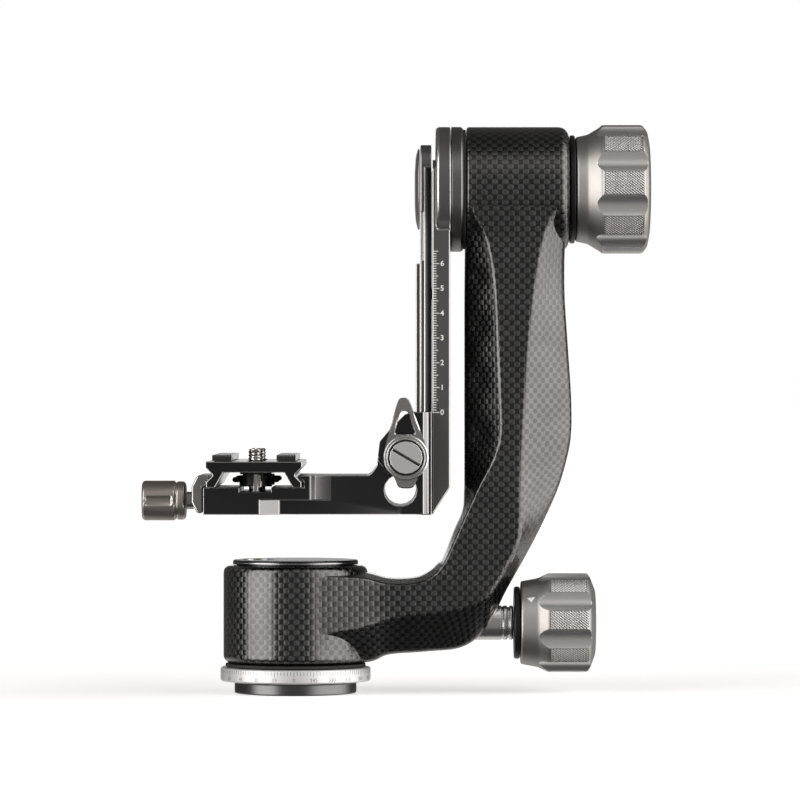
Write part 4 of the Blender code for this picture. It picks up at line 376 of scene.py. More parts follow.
def lettered(name, words, size, place, bold=0.0):
    """Numbers as flat faces: each word is drawn at its own middle, then laid by `place`, which takes an array of flat
    points and the word's number in the row."""
    points, faces, count = [], [], 0
    for order, word in enumerate(words):
        curve = bpy.data.curves.new(name, "FONT")
        curve.body = word
        curve.size = size
        curve.offset = bold
        curve.align_x = "CENTER"
        curve.align_y = "CENTER"
        curve.resolution_u = 3
        flat = seen_mesh(placed(name, curve))
        spots = np.empty(3 * len(flat.vertices))
        flat.vertices.foreach_get("co", spots)
        points.append(place(spots.reshape(-1, 3), order))
        faces += [[count + corner for corner in face.vertices] for face in flat.polygons]
        count += len(flat.vertices)
    mesh = bpy.data.meshes.new(name)
    mesh.from_pydata(np.vstack(points).tolist(), [], faces)
    return mesh


def round_the_ring(flat, order):
    """Flat letters rolled round the ring's rim: a length to the right becomes a turn."""
    turn = order * radians(15) + flat[:, 0] / ring_r
    return around("Z", (0, 0, 0), flat[:, 1] + ring_low + number_lift, proud_r + 0 * turn, turn)


numbers = [str((360 - 15 * order) % 360) for order in range(24)]
numbers_mesh = lettered("dial_ring_numbers", numbers, 0.0022, round_the_ring)
set_up("dial_ring_numbers", numbers_mesh, "base", "satin_silver", [ink])

# ----------------------------------------
# Inside of the pan base: a steel spindle stands on the foot and a nut holds the arm down on it. The arm's
# sleeve runs on a ball bearing below and a brass bush above, with a rubber dust seal under the hub.
brass = metal("brass", (0.62, 0.45, 0.19), 0.32, depth=0.000006)
bearing_steel = metal("bearing steel", (0.60, 0.60, 0.61), 0.15, depth=0.000003, mottle=0.04)
grey_satin = metal("grey anodised", (0.11, 0.11, 0.115), 0.38)
rubber = metal("black rubber", (0.022, 0.022, 0.022), 0.75, 0.0, grain=5000.0, depth=0.00004, mottle=0.25)


def finished(finish, *names):
    """CAD nodes that keep their own shape, each with this finish in its slots."""
    for name in names:
        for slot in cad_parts[name].material_slots:
            slot.material = finish


finished(steel, "pan_spindle", "pan_retaining_nut")
finished(bearing_steel, "pan_bearing_inner_race", "pan_bearing_outer_race", "pan_bearing_ball_cage")
finished(grey_satin, "pan_bearing_sleeve")
finished(brass, "pan_top_bush")
seal = turned("dust_seal", "Z", (0, 0, 0), ring_profile(0.0285, 0.0170, 0.0109, 0.0121, 0.0002), 0.0001, 96)
set_up("dust_seal", seal, "arm", "rubber", [rubber], "pan_dust_seal")

# ----------------------------------------
# Carbon arm: a hollow moulding of plain-woven carbon under a polished clear coat. A pan hub and a tilt hub are
# joined by a faceted blade that turns up at the elbow, with soft finger grooves down its inner side.
tilt_z = 0.2048
tilt_r, tilt_left, tilt_right = 0.0254, 0.0694, 0.1112
pan_r, pan_low, pan_high = 0.0294, 0.0124, 0.0521

# Plain weave: with the map in cells, sin(pi u) sin(pi v) is above nought where the upright tow is on top. A tow is
# arched across and nearly flat along its run. Upright tows are dull and level ones glossy, so the two part in the
# side lights, and the level tows are painted darker by the Shadow share as painted shade. Fine noise along each tow
# is its fibres, and it also lightens and darkens the colour as painted sheen.
weave, given, made = effect(
    "plain weave",
    [("Vector", "Vector", None), ("Cell", "Float", 0.0021), ("Tow", "Color", (0.120, 0.120, 0.123, 1)),
     ("Shadow", "Float", 0.50)],
    [("Colour", "Color"), ("Roughness", "Float"), ("Height", "Float")],
)
spot = node(weave, "SeparateXYZ", {"Vector": given["Vector"]}).outputs
cells = [worked(weave, "DIVIDE", spot[way], given["Cell"]) for way in "XY"]
waves = [worked(weave, "SINE", times(weave, cell, pi)) for cell in cells]
u_arch, v_arch = (worked(weave, "ABSOLUTE", wave) for wave in waves)
arches = [
    times(weave, worked(weave, "POWER", v_arch, v_power), worked(weave, "POWER", u_arch, u_power))
    for v_power, u_power in ((1.0, 0.35), (0.35, 1.0))]
fibres = []
for scales in ((24.0, 1.5), (1.5, 24.0)):
    run = [times(weave, cell, scale) for cell, scale in zip(cells, scales)]
    fibres.append(speckle(weave, node(weave, "CombineXYZ", dict(zip("XY", run))).outputs["Vector"], 0.6, 1.0))
wave = times(weave, *waves)
upright = ramp(weave, wave, -0.12, 0.12)
arch, fibre = (
    node(weave, "Mix", {"Factor": upright, "A": level, "B": stood}).outputs["Result"]
    for level, stood in (arches, fibres[::-1]))
broad = speckle(weave, given["Vector"], 60.0, 2.0)
lit = times(weave, ramp(weave, fibre, 0.2, 0.8, 0.7, 1.3), ramp(weave, broad, 0.3, 0.7, 0.88, 1.12))
# Painted shade: the level tows darken to the Shadow share.
side = ramp(weave, wave, -0.35, 0.25, given["Shadow"])
gloss = ramp(weave, upright, 0.0, 1.0, 0.14, 0.34)
feed(weave, made, {
    "Colour": scaled(weave, given["Tow"], times(weave, lit, side)),
    "Roughness": worked(weave, "ADD", gloss, ramp(weave, fibre, 0.2, 0.8, -0.02, 0.03)),
    "Height": worked(weave, "ADD", arch, times(weave, fibre, 0.25))})

carbon, tree, shader = surface("woven carbon, clear coated", {
    "Metallic": 1.0, "Coat Weight": 1.0, "Coat Roughness": 0.09, "Coat IOR": 1.5})
chart = node(tree, "UVMap", {}, uv_map="UVMap").outputs["UV"]
cloth = node(tree, "Group", {"Vector": chart}, node_tree=weave).outputs
bump = node(tree, "Bump", {"Distance": 0.00010, "Height": cloth["Height"]})
feed(tree, shader, {"Base Color": cloth["Colour"], "Roughness": cloth["Roughness"], "Normal": bump.outputs["Normal"]})

# Blade stations in thousandths. Inner edge, inner ridge, outer ridge and outer edge each have a distance from the pan
# axis, as a share of the tilt hub's far face's, and a height, as a share of the rise. Then come the half widths at the
# edges and the ridges, as shares of the tilt hub's radius. Lower rows rise with the pan hub, and upper rows from its
# top to the tilt axis.
lower_stations = np.array([
    (66, 960, 66, 909, 66, 292, 66, 15, 560, 1116),
    (243, 935, 243, 884, 243, 385, 261, 10, 420, 915),
    (344, 869, 342, 821, 344, 471, 342, 86, 360, 820),
    (441, 879, 450, 834, 468, 519, 477, 116, 350, 780),
]) / 1000
upper_stations = np.array([
    (492, -14, 504, -24, 600, -113, 612, -217, 330, 775),
    (518, 4, 529, -3, 688, -89, 701, -164, 310, 790),
    (539, 20, 549, 19, 742, -37, 773, -64, 290, 810),
    (578, 92, 594, 91, 809, 58, 854, 42, 280, 830),
    (610, 147, 638, 163, 820, 120, 913, 127, 270, 840),
    (616, 196, 675, 220, 820, 196, 962, 209, 260, 850),
    (617, 261, 719, 278, 822, 274, 992, 284, 260, 850),
    (617, 333, 747, 346, 826, 340, 1007, 346, 260, 850),
    (617, 438, 746, 438, 835, 438, 1008, 438, 260, 850),
    (617, 576, 738, 576, 848, 576, 996, 576, 270, 850),
    (617, 707, 730, 707, 868, 707, 984, 707, 310, 860),
    (618, 805, 715, 805, 888, 805, 982, 805, 390, 880),
    (619, 877, 691, 872, 910, 877, 986, 877, 500, 900),
    (622, 925, 655, 918, 940, 925, 990, 925, 530, 930),
    (630, 969, 637, 950, 985, 962, 992, 969, 560, 956),
]) / 1000


def stations():
    """The blade's stations as rows of eight corners: four down the near side, and the same four back up the far
    side."""
    rows = []
    for shares, low, high in ((lower_stations, pan_low, pan_high), (upper_stations, pan_high, tilt_z)):
        x = shares[:, 0:8:2] * tilt_right
        z = low + shares[:, 1:8:2] * (high - low)
        half = shares[:, [8, 9, 9, 8]] * tilt_r
        near = np.stack([x, -half, z], -1)
        far = np.stack([x, half, z], -1)[:, ::-1]
        rows.append(np.concatenate([near, far], 1))
    return np.vstack(rows)


def lofted(rows, substeps):
    """Rings on a smooth curve through the stations: between two of them a cubic whose slope at each one is half the
    step between its neighbours."""
    before = np.vstack([rows[:1], rows[:-2]])[:, None]
    start, end = rows[:-1][:, None], rows[1:][:, None]
    after = np.vstack([rows[2:], rows[-1:]])[:, None]
    share = np.linspace(0, 1, substeps, endpoint=False)[None, :, None, None]
    square, cube = share**2, share**3
    rings = (start * (1.5 * cube - 2.5 * square + 1) + end * (2 * square + share / 2 - 1.5 * cube)
             + before * (square - cube / 2 - share / 2) + after * (cube / 2 - square / 2))
    return np.vstack([rings.reshape(-1, *rows.shape[1:]), rows[-1:]])


def rounded_rings(rings, reach, bends, flats):
    """Each corner of each ring becomes a short parabola, and the facet up to the next corner is split evenly. `reach`
    is how far a bend goes from its corner, for all of them or for each."""
    before = np.roll(rings, 1, 1) - rings
    after = np.roll(rings, -1, 1) - rings
    start = rings + before * np.minimum(0.4, reach / np.linalg.norm(before, axis=2))[..., None]
    end = rings + after * np.minimum(0.4, reach / np.linalg.norm(after, axis=2))[..., None]
    share = np.linspace(0, 1, bends)[None, None, :, None]
    arcs = (start[:, :, None] * (1 - share) ** 2 + rings[:, :, None] * 2 * share * (1 - share)
            + end[:, :, None] * share**2)
    share = (np.arange(1, flats) / flats)[None, None, :, None]
    run = end[:, :, None] * (1 - share) + np.roll(start, -1, 1)[:, :, None] * share
    return np.concatenate([arcs, run], 2).reshape(len(rings), -1, 3)


def draped(points, rings):
    """The cloth's map: the front facet keeps its own x and z, and the rest unrolls from the facet's middle line, by
    the length round the ring, along the facet's direction. The far side mirrors the near one."""
    middle = (rings[:, 1] + rings[:, 2])[:, None, ::2] / 2
    way = (rings[:, 2] - rings[:, 1])[:, None, ::2]
    way = way / np.linalg.norm(way, axis=2, keepdims=True)
    closed = np.concatenate([points, points[:, :1]], 1)
    length = np.cumsum(np.linalg.norm(np.diff(closed, axis=1), axis=2), axis=1)
    whole = length[:, -1:]
    length = np.concatenate([np.zeros_like(whole), length], 1)
    per_corner, bend_end = points.shape[1] // 8, bend_points - 1
    near_middle = (length[:, per_corner + bend_end, None] + length[:, 2 * per_corner, None]) / 2
    far_middle = (length[:, 5 * per_corner + bend_end, None] + length[:, 6 * per_corner, None]) / 2
    near = closed[..., 1] < 0
    late = near & (np.arange(closed.shape[1])[None, :] > 4 * per_corner)
    reach = np.where(near, length - late * whole - near_middle, far_middle - length)
    return middle + reach[..., None] * way + cloth_shift


# The edges bend softly and the ridges more tightly, the inner one most.
edge_bend, inner_bend, outer_bend = 0.0026, 0.0010, 0.0016
bend_points, facet_parts = 5, 6
cloth_shift = np.array([0.0014, 0.0])
near_bends = [edge_bend, inner_bend, outer_bend, edge_bend]
rings = lofted(stations(), 8)
blade_points = rounded_rings(rings, np.array(near_bends + near_bends[::-1]), bend_points, facet_parts)

# Four finger grooves down the inner side: each is a smooth dent, deepest by the edge, along the facet's own normal.
groove_depth, groove_way = 0.0011, np.array([0.72, 0.69, 0.0])
for middle, half in ((0.1688, 0.0060), (0.1490, 0.0085), (0.1275, 0.0095), (0.1050, 0.0080)):
    facet = blade_points[:, 3:10]
    dent = np.cos(np.clip((facet[..., 2] - middle) / half, -1, 1) * pi / 2) ** 2
    across = np.sin(np.linspace(0.06, 0.94, 7) * pi) ** 2
    facet += (groove_depth * dent * across)[..., None] * groove_way
blade_chart = draped(blade_points, rings)
ends = [np.broadcast_to(blade_points[i].mean(0), blade_points[i].shape)[None] for i in (0, -1)]
end_charts = [np.broadcast_to(blade_chart[i].mean(0), blade_chart[i].shape)[None] for i in (0, -1)]
blade_mesh = skin(
    "arm_blade", np.vstack([ends[0], blade_points, ends[1]]), np.vstack([end_charts[0], blade_chart, end_charts[1]]))


def drum(name, axis, centre, low, high, radius, first=0.0, last=0.0, steps=48, start=0.0):
    """A solid round bar with a chamfer round its first and its last rim. Its map starts at the front, so that the
    weave runs on from the blade's."""
    profile = [(low, 0), (low, radius), (high, radius), (high, 0)]
    if first:
        profile = eased([(low, 0), (low, radius - first), (low + first, radius), (high - last, radius),
                         (high, radius - last), (high, 0)], 0.8 * np.array([first, first, last, last]))
    profile = np.array(profile)
    turn = np.linspace(-pi, pi, steps + 1)
    points = around(axis, centre, profile[:, :1], profile[:, 1:], turn[None, :-1])
    down = np.cumsum(np.concatenate([[0], np.linalg.norm(np.diff(profile, axis=0), axis=1)])) - (radius - first)
    length, girth = np.broadcast_arrays(low + down[:, None], start + turn[None, :] * radius)
    return skin(name, points, np.stack([length, girth] if axis == "X" else [girth, length], -1))


def shaped(name, first, *others):
    """The first mesh joined with others, or cut by them: each is a pair of an operation and a mesh."""
    whole = placed(name, first)
    helpers = [placed(name + "_helper", mesh) for _, mesh in others]
    for (operation, _), helper in zip(others, helpers):
        step = whole.modifiers.new(operation, "BOOLEAN")
        step.operation = operation
        step.solver = "EXACT"
        step.object = helper
    result = seen_mesh(whole)
    for helper in helpers:
        bpy.data.objects.remove(helper)
    return welded(result)


lock_z = 0.0285
arm = shaped(
    "arm_shell", blade_mesh,
    ("UNION", drum("pan hub", "Z", (0, 0, 0), pan_low, pan_high, pan_r, 0.0018, 0.0018, 144)),
    ("UNION", drum("tilt hub", "X", (0, 0, tilt_z), tilt_left, tilt_right, tilt_r, 0.0007, 0.0026, 144, tilt_z)),
    ("DIFFERENCE", drum("pan bore", "Z", (0, 0, 0), 0, 0.06, 0.0240, steps=144)),
    ("DIFFERENCE", drum("tilt bore", "X", (0, 0, tilt_z), 0.066, 0.115, 0.0203, steps=144)),
    ("DIFFERENCE", drum("lock bore", "X", (0, 0, lock_z), 0.0617, 0.0885, 0.0073)),
    ("DIFFERENCE", drum("rod bore", "X", (0, 0, lock_z), 0.010, 0.070, 0.0046)),
)
set_up("arm_shell", arm, "arm", "carbon", [carbon], "carbon_arm")

# ----------------------------------------
# Top cap of the pan hub: a thin silver disc plugged into the arm's bore, painted dark as painted shade except a silver
# band round its rim, which is a painted highlight. A round bubble level is glued into it: a silver cup, yellow-green
# fluid under a domed glass, a black circle and the bubble.
cap_corners = [(0.0505, 0), (0.0505, 0.0234), (0.0524, 0.0234), (0.0524, 0.0255), (0.0531, 0.0255), (0.0537, 0.0255),
               (0.0542, 0.0250), (0.0542, 0)]
silver_turned = turned_metal("satin silver, turned", (0.72, 0.72, 0.73), 0.30)
cap_dark = turned_metal("cap, painted shade", (0.085, 0.085, 0.09), 0.26)
# Rows on the rim's side near its top take the silver, as painted highlight; the rest takes the painted shade.
cap = turned("hub_cap", "Z", (0, 0, 0), cap_corners, 0.00015, 128,
             lambda along, radius: (along > 0.0530) & (along < 0.0534) & (radius > 0.0254))
for finish in (cap_dark, silver_turned):
    cap.materials.append(finish)
level_x = -0.0153
pocket_corners = [(0.0516, 0), (0.0516, 0.0063), (0.0600, 0.0063), (0.0600, 0)]
pocket = turned("level pocket", "Z", (level_x, 0, 0), pocket_corners, 1e-6, 64)
set_up("hub_cap", shaped("hub_cap", cap, ("DIFFERENCE", pocket)), "arm", "satin_silver", [cap_dark, silver_turned],
       "pan_top_cap")
cup_corners = [(0.0519, 0), (0.0519, 0.0060), (0.0545, 0.0060), (0.0545, 0.0050), (0.0525, 0.0050), (0.0525, 0)]
set_up("level_case", turned("level_case", "Z", (level_x, 0, 0), cup_corners, 0.0002, 64), "arm", "satin_silver",
       [silver_turned], "level_cup")

# Seen from above, rings round the level's own axis: the bubble, its dark rim, which is painted shade, the fluid and the
# black circle.
fluid, tree, shader = surface("level fluid under glass", {"Roughness": 0.05, "Coat Weight": 1.0})
level_r = 0.0050
stops = [(0.0, (0.93, 0.95, 0.55)), (0.30, (0.90, 0.93, 0.42)), (0.33, (0.20, 0.26, 0.02)), (0.37, (0.52, 0.68, 0.06)),
         (0.50, (0.50, 0.66, 0.06)), (0.52, (0.01, 0.01, 0.01)), (0.56, (0.01, 0.01, 0.01)), (0.58, (0.46, 0.62, 0.05))]
spot = node(tree, "SeparateXYZ", {"Vector": node(tree, "TexCoord", {}).outputs["Object"]}).outputs
sides = worked(tree, "SUBTRACT", spot["X"], level_x), spot["Y"]
square = worked(tree, "ADD", *(times(tree, side, side) for side in sides))
share = worked(tree, "DIVIDE", worked(tree, "SQRT", square), level_r)
bands = node(tree, "ValToRGB", {"Fac": share})
bands.color_ramp.interpolation = "EASE"
while len(bands.color_ramp.elements) < len(stops):
    bands.color_ramp.elements.new(0.5)
for element, (position, colour) in zip(bands.color_ramp.elements, stops):
    element.position = position
    element.color = (*colour, 1)
feed(tree, shader, {"Base Color": bands.outputs["Color"]})
dome = [(0.0528, 0), (0.0528, 0.0047), (0.0543, 0.0047), (0.0546, 0.0032), (0.0548, 0.0015), (0.0548, 0)]
set_up("level_glass_dome", turned("level_glass_dome", "Z", (level_x, 0, 0), dome, 0.0006, 64), "arm", "level_glass",
       [fluid], "level_lens")

# ----------------------------------------
# Inside and outer end of the tilt hub: an aluminium sleeve with a ball bearing and a brass bush, and a black
# anodised ring that closes the hub behind the lock knob.
black_turned = turned_metal("black anodised, turned", (0.022, 0.022, 0.024), 0.34, metallic=0.6)
finished(grey_satin, "tilt_bearing_sleeve")
finished(bearing_steel, "tilt_bearing_outer_race", "tilt_bearing_ball_cage", "tilt_bearing_inner_race")
finished(brass, "tilt_outer_bush")
end_corners = ring_profile(0.0220, 0.0096, 0.1115, 0.1135, 0.0003)
end_ring = turned("hub_end_ring", "X", (0, 0, tilt_z), end_corners, 0.0002, 128)
set_up("hub_end_ring", end_ring, "arm", "dark_anodised", [black_turned], "tilt_end_ring")

# ----------------------------------------
# Swing arm: a steel spindle through the tilt hub carries a turned flange, the plate with the height scale and
# the dovetail rail that the cradle slides on, screwed together and closed by a domed cap. Grey anodised.
finished(steel, "tilt_spindle")
disc_metal = turned_metal("dark grey anodised, turned", (0.30, 0.30, 0.30), 0.32)
# Light grey for the rounds of the scale plate and rail: a painted highlight.
disc_edge = metal("dark grey anodised, painted edge highlight", (0.80, 0.80, 0.80), 0.28)
flange_corners = [(0.0633, 0.0093), (0.0633, 0.0254), (0.0673, 0.0254), (0.0682, 0.0245), (0.0682, 0.0110),
                  (0.0700, 0.0110), (0.0700, 0.0093), (0.0633, 0.0093)]
flange = turned("swing_flange", "X", (0, 0, tilt_z), flange_corners, 0.0003, 144)
set_up("swing_flange", flange, "swing", "grey_anodised", [disc_metal], "tilt_flange")
lip = turned("flange_lip", "X", (0, 0, tilt_z), ring_profile(0.0243, 0.0150, 0.0681, 0.0692), 0.0001, 96)
set_up("flange_lip", lip, "swing", "rubber", [rubber])


def broken_edges(name, solid, width, body, slot, finishes, segments=2, bright=None, dull=None):
    """A copy of a CAD solid with its triangles welded, its flat faces made whole, and its sharp edges rounded by a
    small width. The rounds take the last finish, mostly a lighter one that paints a highlight along them, except where
    `dull` picks them by their centre, and the faces that `bright` picks by centre and normal take the second. It stands
    for the solid's node."""
    shape = bmesh.new()
    shape.from_mesh(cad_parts[solid].data)
    bmesh.ops.remove_doubles(shape, verts=shape.verts, dist=2e-6)
    bmesh.ops.dissolve_limit(shape, angle_limit=radians(0.4), verts=shape.verts, edges=shape.edges)
    mesh = bpy.data.meshes.new(name)
    shape.to_mesh(mesh)
    shape.free()
    mesh.materials.clear()
    for finish in finishes:
        mesh.materials.append(finish)
    zones = np.zeros(len(mesh.polygons), np.int32)
    if bright is not None:
        centre, normal = np.empty((2, len(zones) * 3))
        mesh.polygons.foreach_get("center", centre)
        mesh.polygons.foreach_get("normal", normal)
        zones[bright(*centre.reshape(-1, 3).T, *normal.reshape(-1, 3).T)] = 1
    mesh.polygons.foreach_set("material_index", zones)
    mesh.shade_smooth()
    mesh.set_sharp_from_angle(angle=radians(30))
    draft = placed(name, mesh)
    bevel = draft.modifiers.new("broken edges", "BEVEL")
    bevel.width = width
    bevel.segments = segments
    bevel.limit_method = "ANGLE"
    bevel.angle_limit = radians(30)
    bevel.material = len(finishes) - 1
    bevel.use_clamp_overlap = False
    bevel.harden_normals = True
    result = seen_mesh(draft)
    if dull is not None:
        zones = np.empty(len(result.polygons), np.int32)
        centre = np.empty(len(zones) * 3)
        result.polygons.foreach_get("material_index", zones)
        result.polygons.foreach_get("center", centre)
        zones[dull(*centre.reshape(-1, 3).T)] = 0
        result.polygons.foreach_set("material_index", zones)
    return set_up(name, result, body, slot, finishes, solid)


plate_face = metal("grey anodised plate", (0.135, 0.135, 0.137), 0.42, 0.7)
# The scale plate's rounds take the painted highlight, except those at the top of its left edge.
broken_edges("scale_plate", "swing_plate", 0.0005, "swing", "grey_anodised", [plate_face, disc_edge],
             dull=lambda x, y, z: (x < 0.0569) & (z > 0.1895))
rail_metal = metal("grey anodised rail", (0.16, 0.16, 0.165), 0.34, 0.8)
broken_edges("height_rail", "slide_rail", 0.0003, "swing", "grey_anodised", [rail_metal, disc_edge])
for name in ("rail_screw_top", "rail_screw_bottom"):
    broken_edges(name + "_socket", name, 0.00015, "swing", "steel", [steel, steel])
cap_metal = turned_metal("axis cap, satin anodised", (0.42, 0.42, 0.425), 0.42)
axis_cap = [(0.0505, 0), (0.0505, 0.0165), (0.0498, 0.0165), (0.0489, 0.0130), (0.0485, 0.0065), (0.0485, 0)]
set_up("axis_cap_dome", turned("axis_cap_dome", "X", (0, 0, tilt_z), axis_cap, 0.0010, 96), "swing", "satin_silver",
       [cap_metal], "tilt_axis_cap")

# Height scale, engraved and filled white on the plate's near side: a line each millimetre, longer at 5 and 10, and
# a number at each centimetre.
paint = metal("white filling", (0.90, 0.90, 0.90), 0.6, 0.0, mottle=0.02)
scale_x, scale_y, scale_nought, tick_half, number_gap = 0.0556, -0.01903, 0.1141, 0.00016, 0.0039
steps = np.arange(66)
scale_z = scale_nought + 0.001 * steps
tick_long = np.where(steps % 10 == 0, 0.0028, np.where(steps % 5 == 0, 0.0023, 0.0016))
tick_sheets = np.stack([
    np.stack([scale_x + tick_long * far, scale_y + 0 * tick_long, scale_z + up * tick_half], -1)
    for far, up in ((0, -1), (1, -1), (1, 1), (0, 1))], 1)
set_up("height_scale_lines", marks_mesh("height_scale_lines", tick_sheets), "swing", "grey_anodised", [paint])


def up_the_scale(flat, order):
    """Flat letters stood up on the plate's near side, one each centimetre."""
    across, up = scale_x + number_gap + flat[:, 0], scale_nought + 0.01 * order + flat[:, 1]
    return np.stack([across, scale_y + 0 * across, up], -1)


scale_numbers = lettered("height_scale_numbers", "0123456", 0.0030, up_the_scale, 0.00006)
set_up("height_scale_numbers", scale_numbers, "swing", "grey_anodised", [paint])

# ----------------------------------------
# Tilt lock: a titanium-coloured knob, scalloped for the fingers and knurled on the lands between. A brass bush
# inside it screws onto the spindle's end and presses a polymer washer on the hub's end ring.
titanium = metal("titanium grey, blasted", (0.46, 0.452, 0.44), 0.42, depth=0.000012, mottle=0.06)
# The knurled lands and milled flutes are painted about twice as light as the blasted titanium: painted light where they
# catch the lamps.
titanium_knurled = metal("titanium grey, knurled", (0.95, 0.94, 0.925), 0.30, mottle=0.04)
titanium_fluted = metal("titanium grey, milled flutes", (0.93, 0.925, 0.91), 0.34, depth=0.00001, mottle=0.05)
knob_finishes = [titanium, titanium_knurled, titanium_fluted]
polymer = metal("bearing polymer", (0.65, 0.62, 0.54), 0.6, 0.0)
finished(polymer, "tilt_friction_washer")
finished(brass, "tilt_lock_bush")

diamond_wide, diamond_tall, knurl_depth, knurl_run_out = 0.00135, 0.00105, 0.00030, 0.0002
coarse_row, fine_row = 0.0006, 0.00018


def knurl(girth, along):
    """Height of a knurl, from 0 to 1: two sets of slanting ridges cross, the second half as deep, and the lower of
    them is left."""
    first = np.abs(np.sin(pi * (girth / diamond_tall + along / diamond_wide)))
    second = np.abs(np.sin(pi * (girth / diamond_tall - along / diamond_wide)))
    return np.minimum(first, 0.5 + 0.5 * second)


# The knurl's grooves are painted darker than its points, as painted shade. The pattern is the mesh's own, read from the
# map.
tree = titanium_knurled.node_tree
spot = node(tree, "SeparateXYZ", {"Vector": node(tree, "UVMap", {}, uv_map="UVMap").outputs["UV"]}).outputs
girths = times(tree, spot["X"], pi / diamond_tall)
lengths = times(tree, spot["Y"], pi / diamond_wide)
first, second = (
    worked(tree, "ABSOLUTE", worked(tree, "SINE", worked(tree, way, girths, lengths))) for way in ("ADD", "SUBTRACT"))
crossing = worked(tree, "ADD", times(tree, second, 0.5), 0.5)
painted_groove_shade = ramp(tree, worked(tree, "MINIMUM", first, crossing), 0.20, 0.90, 0.10, 1.10)
feed(tree, tree.nodes["Principled BSDF"], {"Base Color": scaled(tree, tree.nodes["Group"].outputs["Colour"], painted_groove_shade)})


def scalloped(name, centre, corners, ease, count, bar_r, depth, first_turn, grip):
    """A turned knob with straight finger scallops and knurled lands. On the lands a row keeps its profile's radius r.
    In a scallop it drops to the wall of a bar of radius R, whose line runs at reach D beside the knob's own: D cos f -
    sqrt(R R - D D sin f sin f), with f the turn from the scallop's middle. The scallop is open to either side by
    arccos((r r + D D - R R) / (2 r D)), which closes to a point where the knob narrows. Columns follow its edges, so
    they stay crisp."""
    profile = eased(corners, ease)
    down = np.concatenate([[0], np.cumsum(np.linalg.norm(np.diff(profile, axis=0), axis=1))])
    knob_r = profile[:, 1].max()
    widest = down[profile[:, 1] > knob_r - 1e-6]
    rows = np.concatenate([down, np.arange(0, down[-1], coarse_row), np.arange(widest[0], widest[-1], fine_row)])
    rows = np.unique(np.round(rows, 6))
    along = np.interp(rows, down, profile[:, 0])[:, None]
    radius = np.interp(rows, down, profile[:, 1])[:, None]
    reach = knob_r - depth + bar_r
    pitch = 2 * pi / count
    outer = (rows > down[1] + 0.0005)[:, None]
    safe = np.where(outer, np.maximum(radius, reach - bar_r), reach - bar_r)
    opening = np.arccos(np.clip((safe**2 + reach**2 - bar_r**2) / (2 * safe * reach), -1, 1))
    inside, land = np.linspace(-1, 1, 21)[None, :], np.linspace(0, 1, 57)[None, 1:-1]
    turns = np.hstack([
        first_turn + order * pitch + part
        for order in range(count)
        for part in (inside * opening, opening + land * (pitch - 2 * opening))])
    off = turns - first_turn
    off = off - np.round(off / pitch) * pitch
    wall = reach * np.cos(off) - np.sqrt(np.maximum(bar_r**2 - (reach * np.sin(off)) ** 2, 0))
    cut = (np.abs(off) < opening + 1e-9) & (opening > 1e-6)
    held = np.clip((along - grip[0]) / knurl_run_out, 0, 1) * np.clip((grip[1] - along) / knurl_run_out, 0, 1)
    held = held * (radius > 0.99 * knob_r) * np.clip((np.abs(off) - opening) / 0.012, 0, 1)
    shape = radius - knurl_depth * held * (1 - knurl(turns * knob_r, rows[:, None]))
    shape = np.where(cut, np.minimum(radius, wall), shape)
    points = around("X", centre, along, shape, turns)
    closed = np.hstack([turns, turns[:, :1] + 2 * pi])
    chart = np.stack(np.broadcast_arrays(closed * knob_r, rows[:, None]), -1)
    middle = (along[:-1] + along[1:]) / 2
    wide = (radius[:-1] + radius[1:]) / 2 > 0.99 * knob_r
    gripped = (middle > grip[0]) & (middle < grip[1]) & wide
    column = np.arange(turns.shape[1])[None, :] % (inside.size + land.size)
    return skin(name, points, chart, zones=np.where(column < inside.size - 1, 2, gripped))


knob_x, knob_l = 0.1138, 0.0303
knob_corners = [
    (0.1168, 0), (0.1168, 0.0183), (knob_x, 0.0183), (knob_x, 0.0212), (0.11865, 0.0222), (0.1235, 0.0251),
    (0.1246, 0.0262), (0.1408, 0.0262), (0.1429, 0.0236), (0.1438, 0.0190), (knob_x + knob_l, 0.0130),
    (knob_x + knob_l, 0)]
tilt_knob = scalloped(
    "tilt_grip", (0, 0, tilt_z), knob_corners, 0.0009, 9, 0.0070, 0.0020, radians(23.7), (0.1247, 0.1410))
set_up("tilt_grip", tilt_knob, "tilt_knob", "titanium_grey", knob_finishes, "tilt_lock_knob")

# ----------------------------------------
# Pan lock: a black barrel with two grooves is glued into the arm, coloured bright silver as a painted highlight. A
# steel rod runs through it from the knob and presses a brass shoe on the pan spindle. The knob is the tilt knob's
# smaller brother, on a black boss.
barrel_metal = turned_metal("barrel, painted highlight, turned", (0.90, 0.90, 0.89), 0.24, depth=0.000006)
barrel_corners = [
    (0.0750, 0.0043), (0.0885, 0.0043), (0.0885, 0.0065), (0.0880, 0.0070), (0.0872, 0.0070), (0.0868, 0.0064),
    (0.0862, 0.0064), (0.0858, 0.0070), (0.0846, 0.0070), (0.0843, 0.0066), (0.0838, 0.0066), (0.0835, 0.0070),
    (0.0625, 0.0070), (0.0620, 0.0065), (0.0620, 0.0043), (0.0750, 0.0043)]
set_up("lock_barrel", turned("lock_barrel", "X", (0, 0, lock_z), barrel_corners, 0.0002, 96), "arm", "dark_anodised",
       [barrel_metal], "pan_lock_barrel")
finished(brass, "pan_brake_shoe")
finished(steel, "pan_lock_rod")
boss = turned("lock_boss", "X", (0, 0, lock_z), ring_profile(0.0147, 0.0043, 0.0888, 0.0912, 0.0005), 0.0002, 128)
set_up("lock_boss", boss, "pan_knob", "dark_anodised", [black_turned], "pan_lock_boss")
pan_x = 0.0915
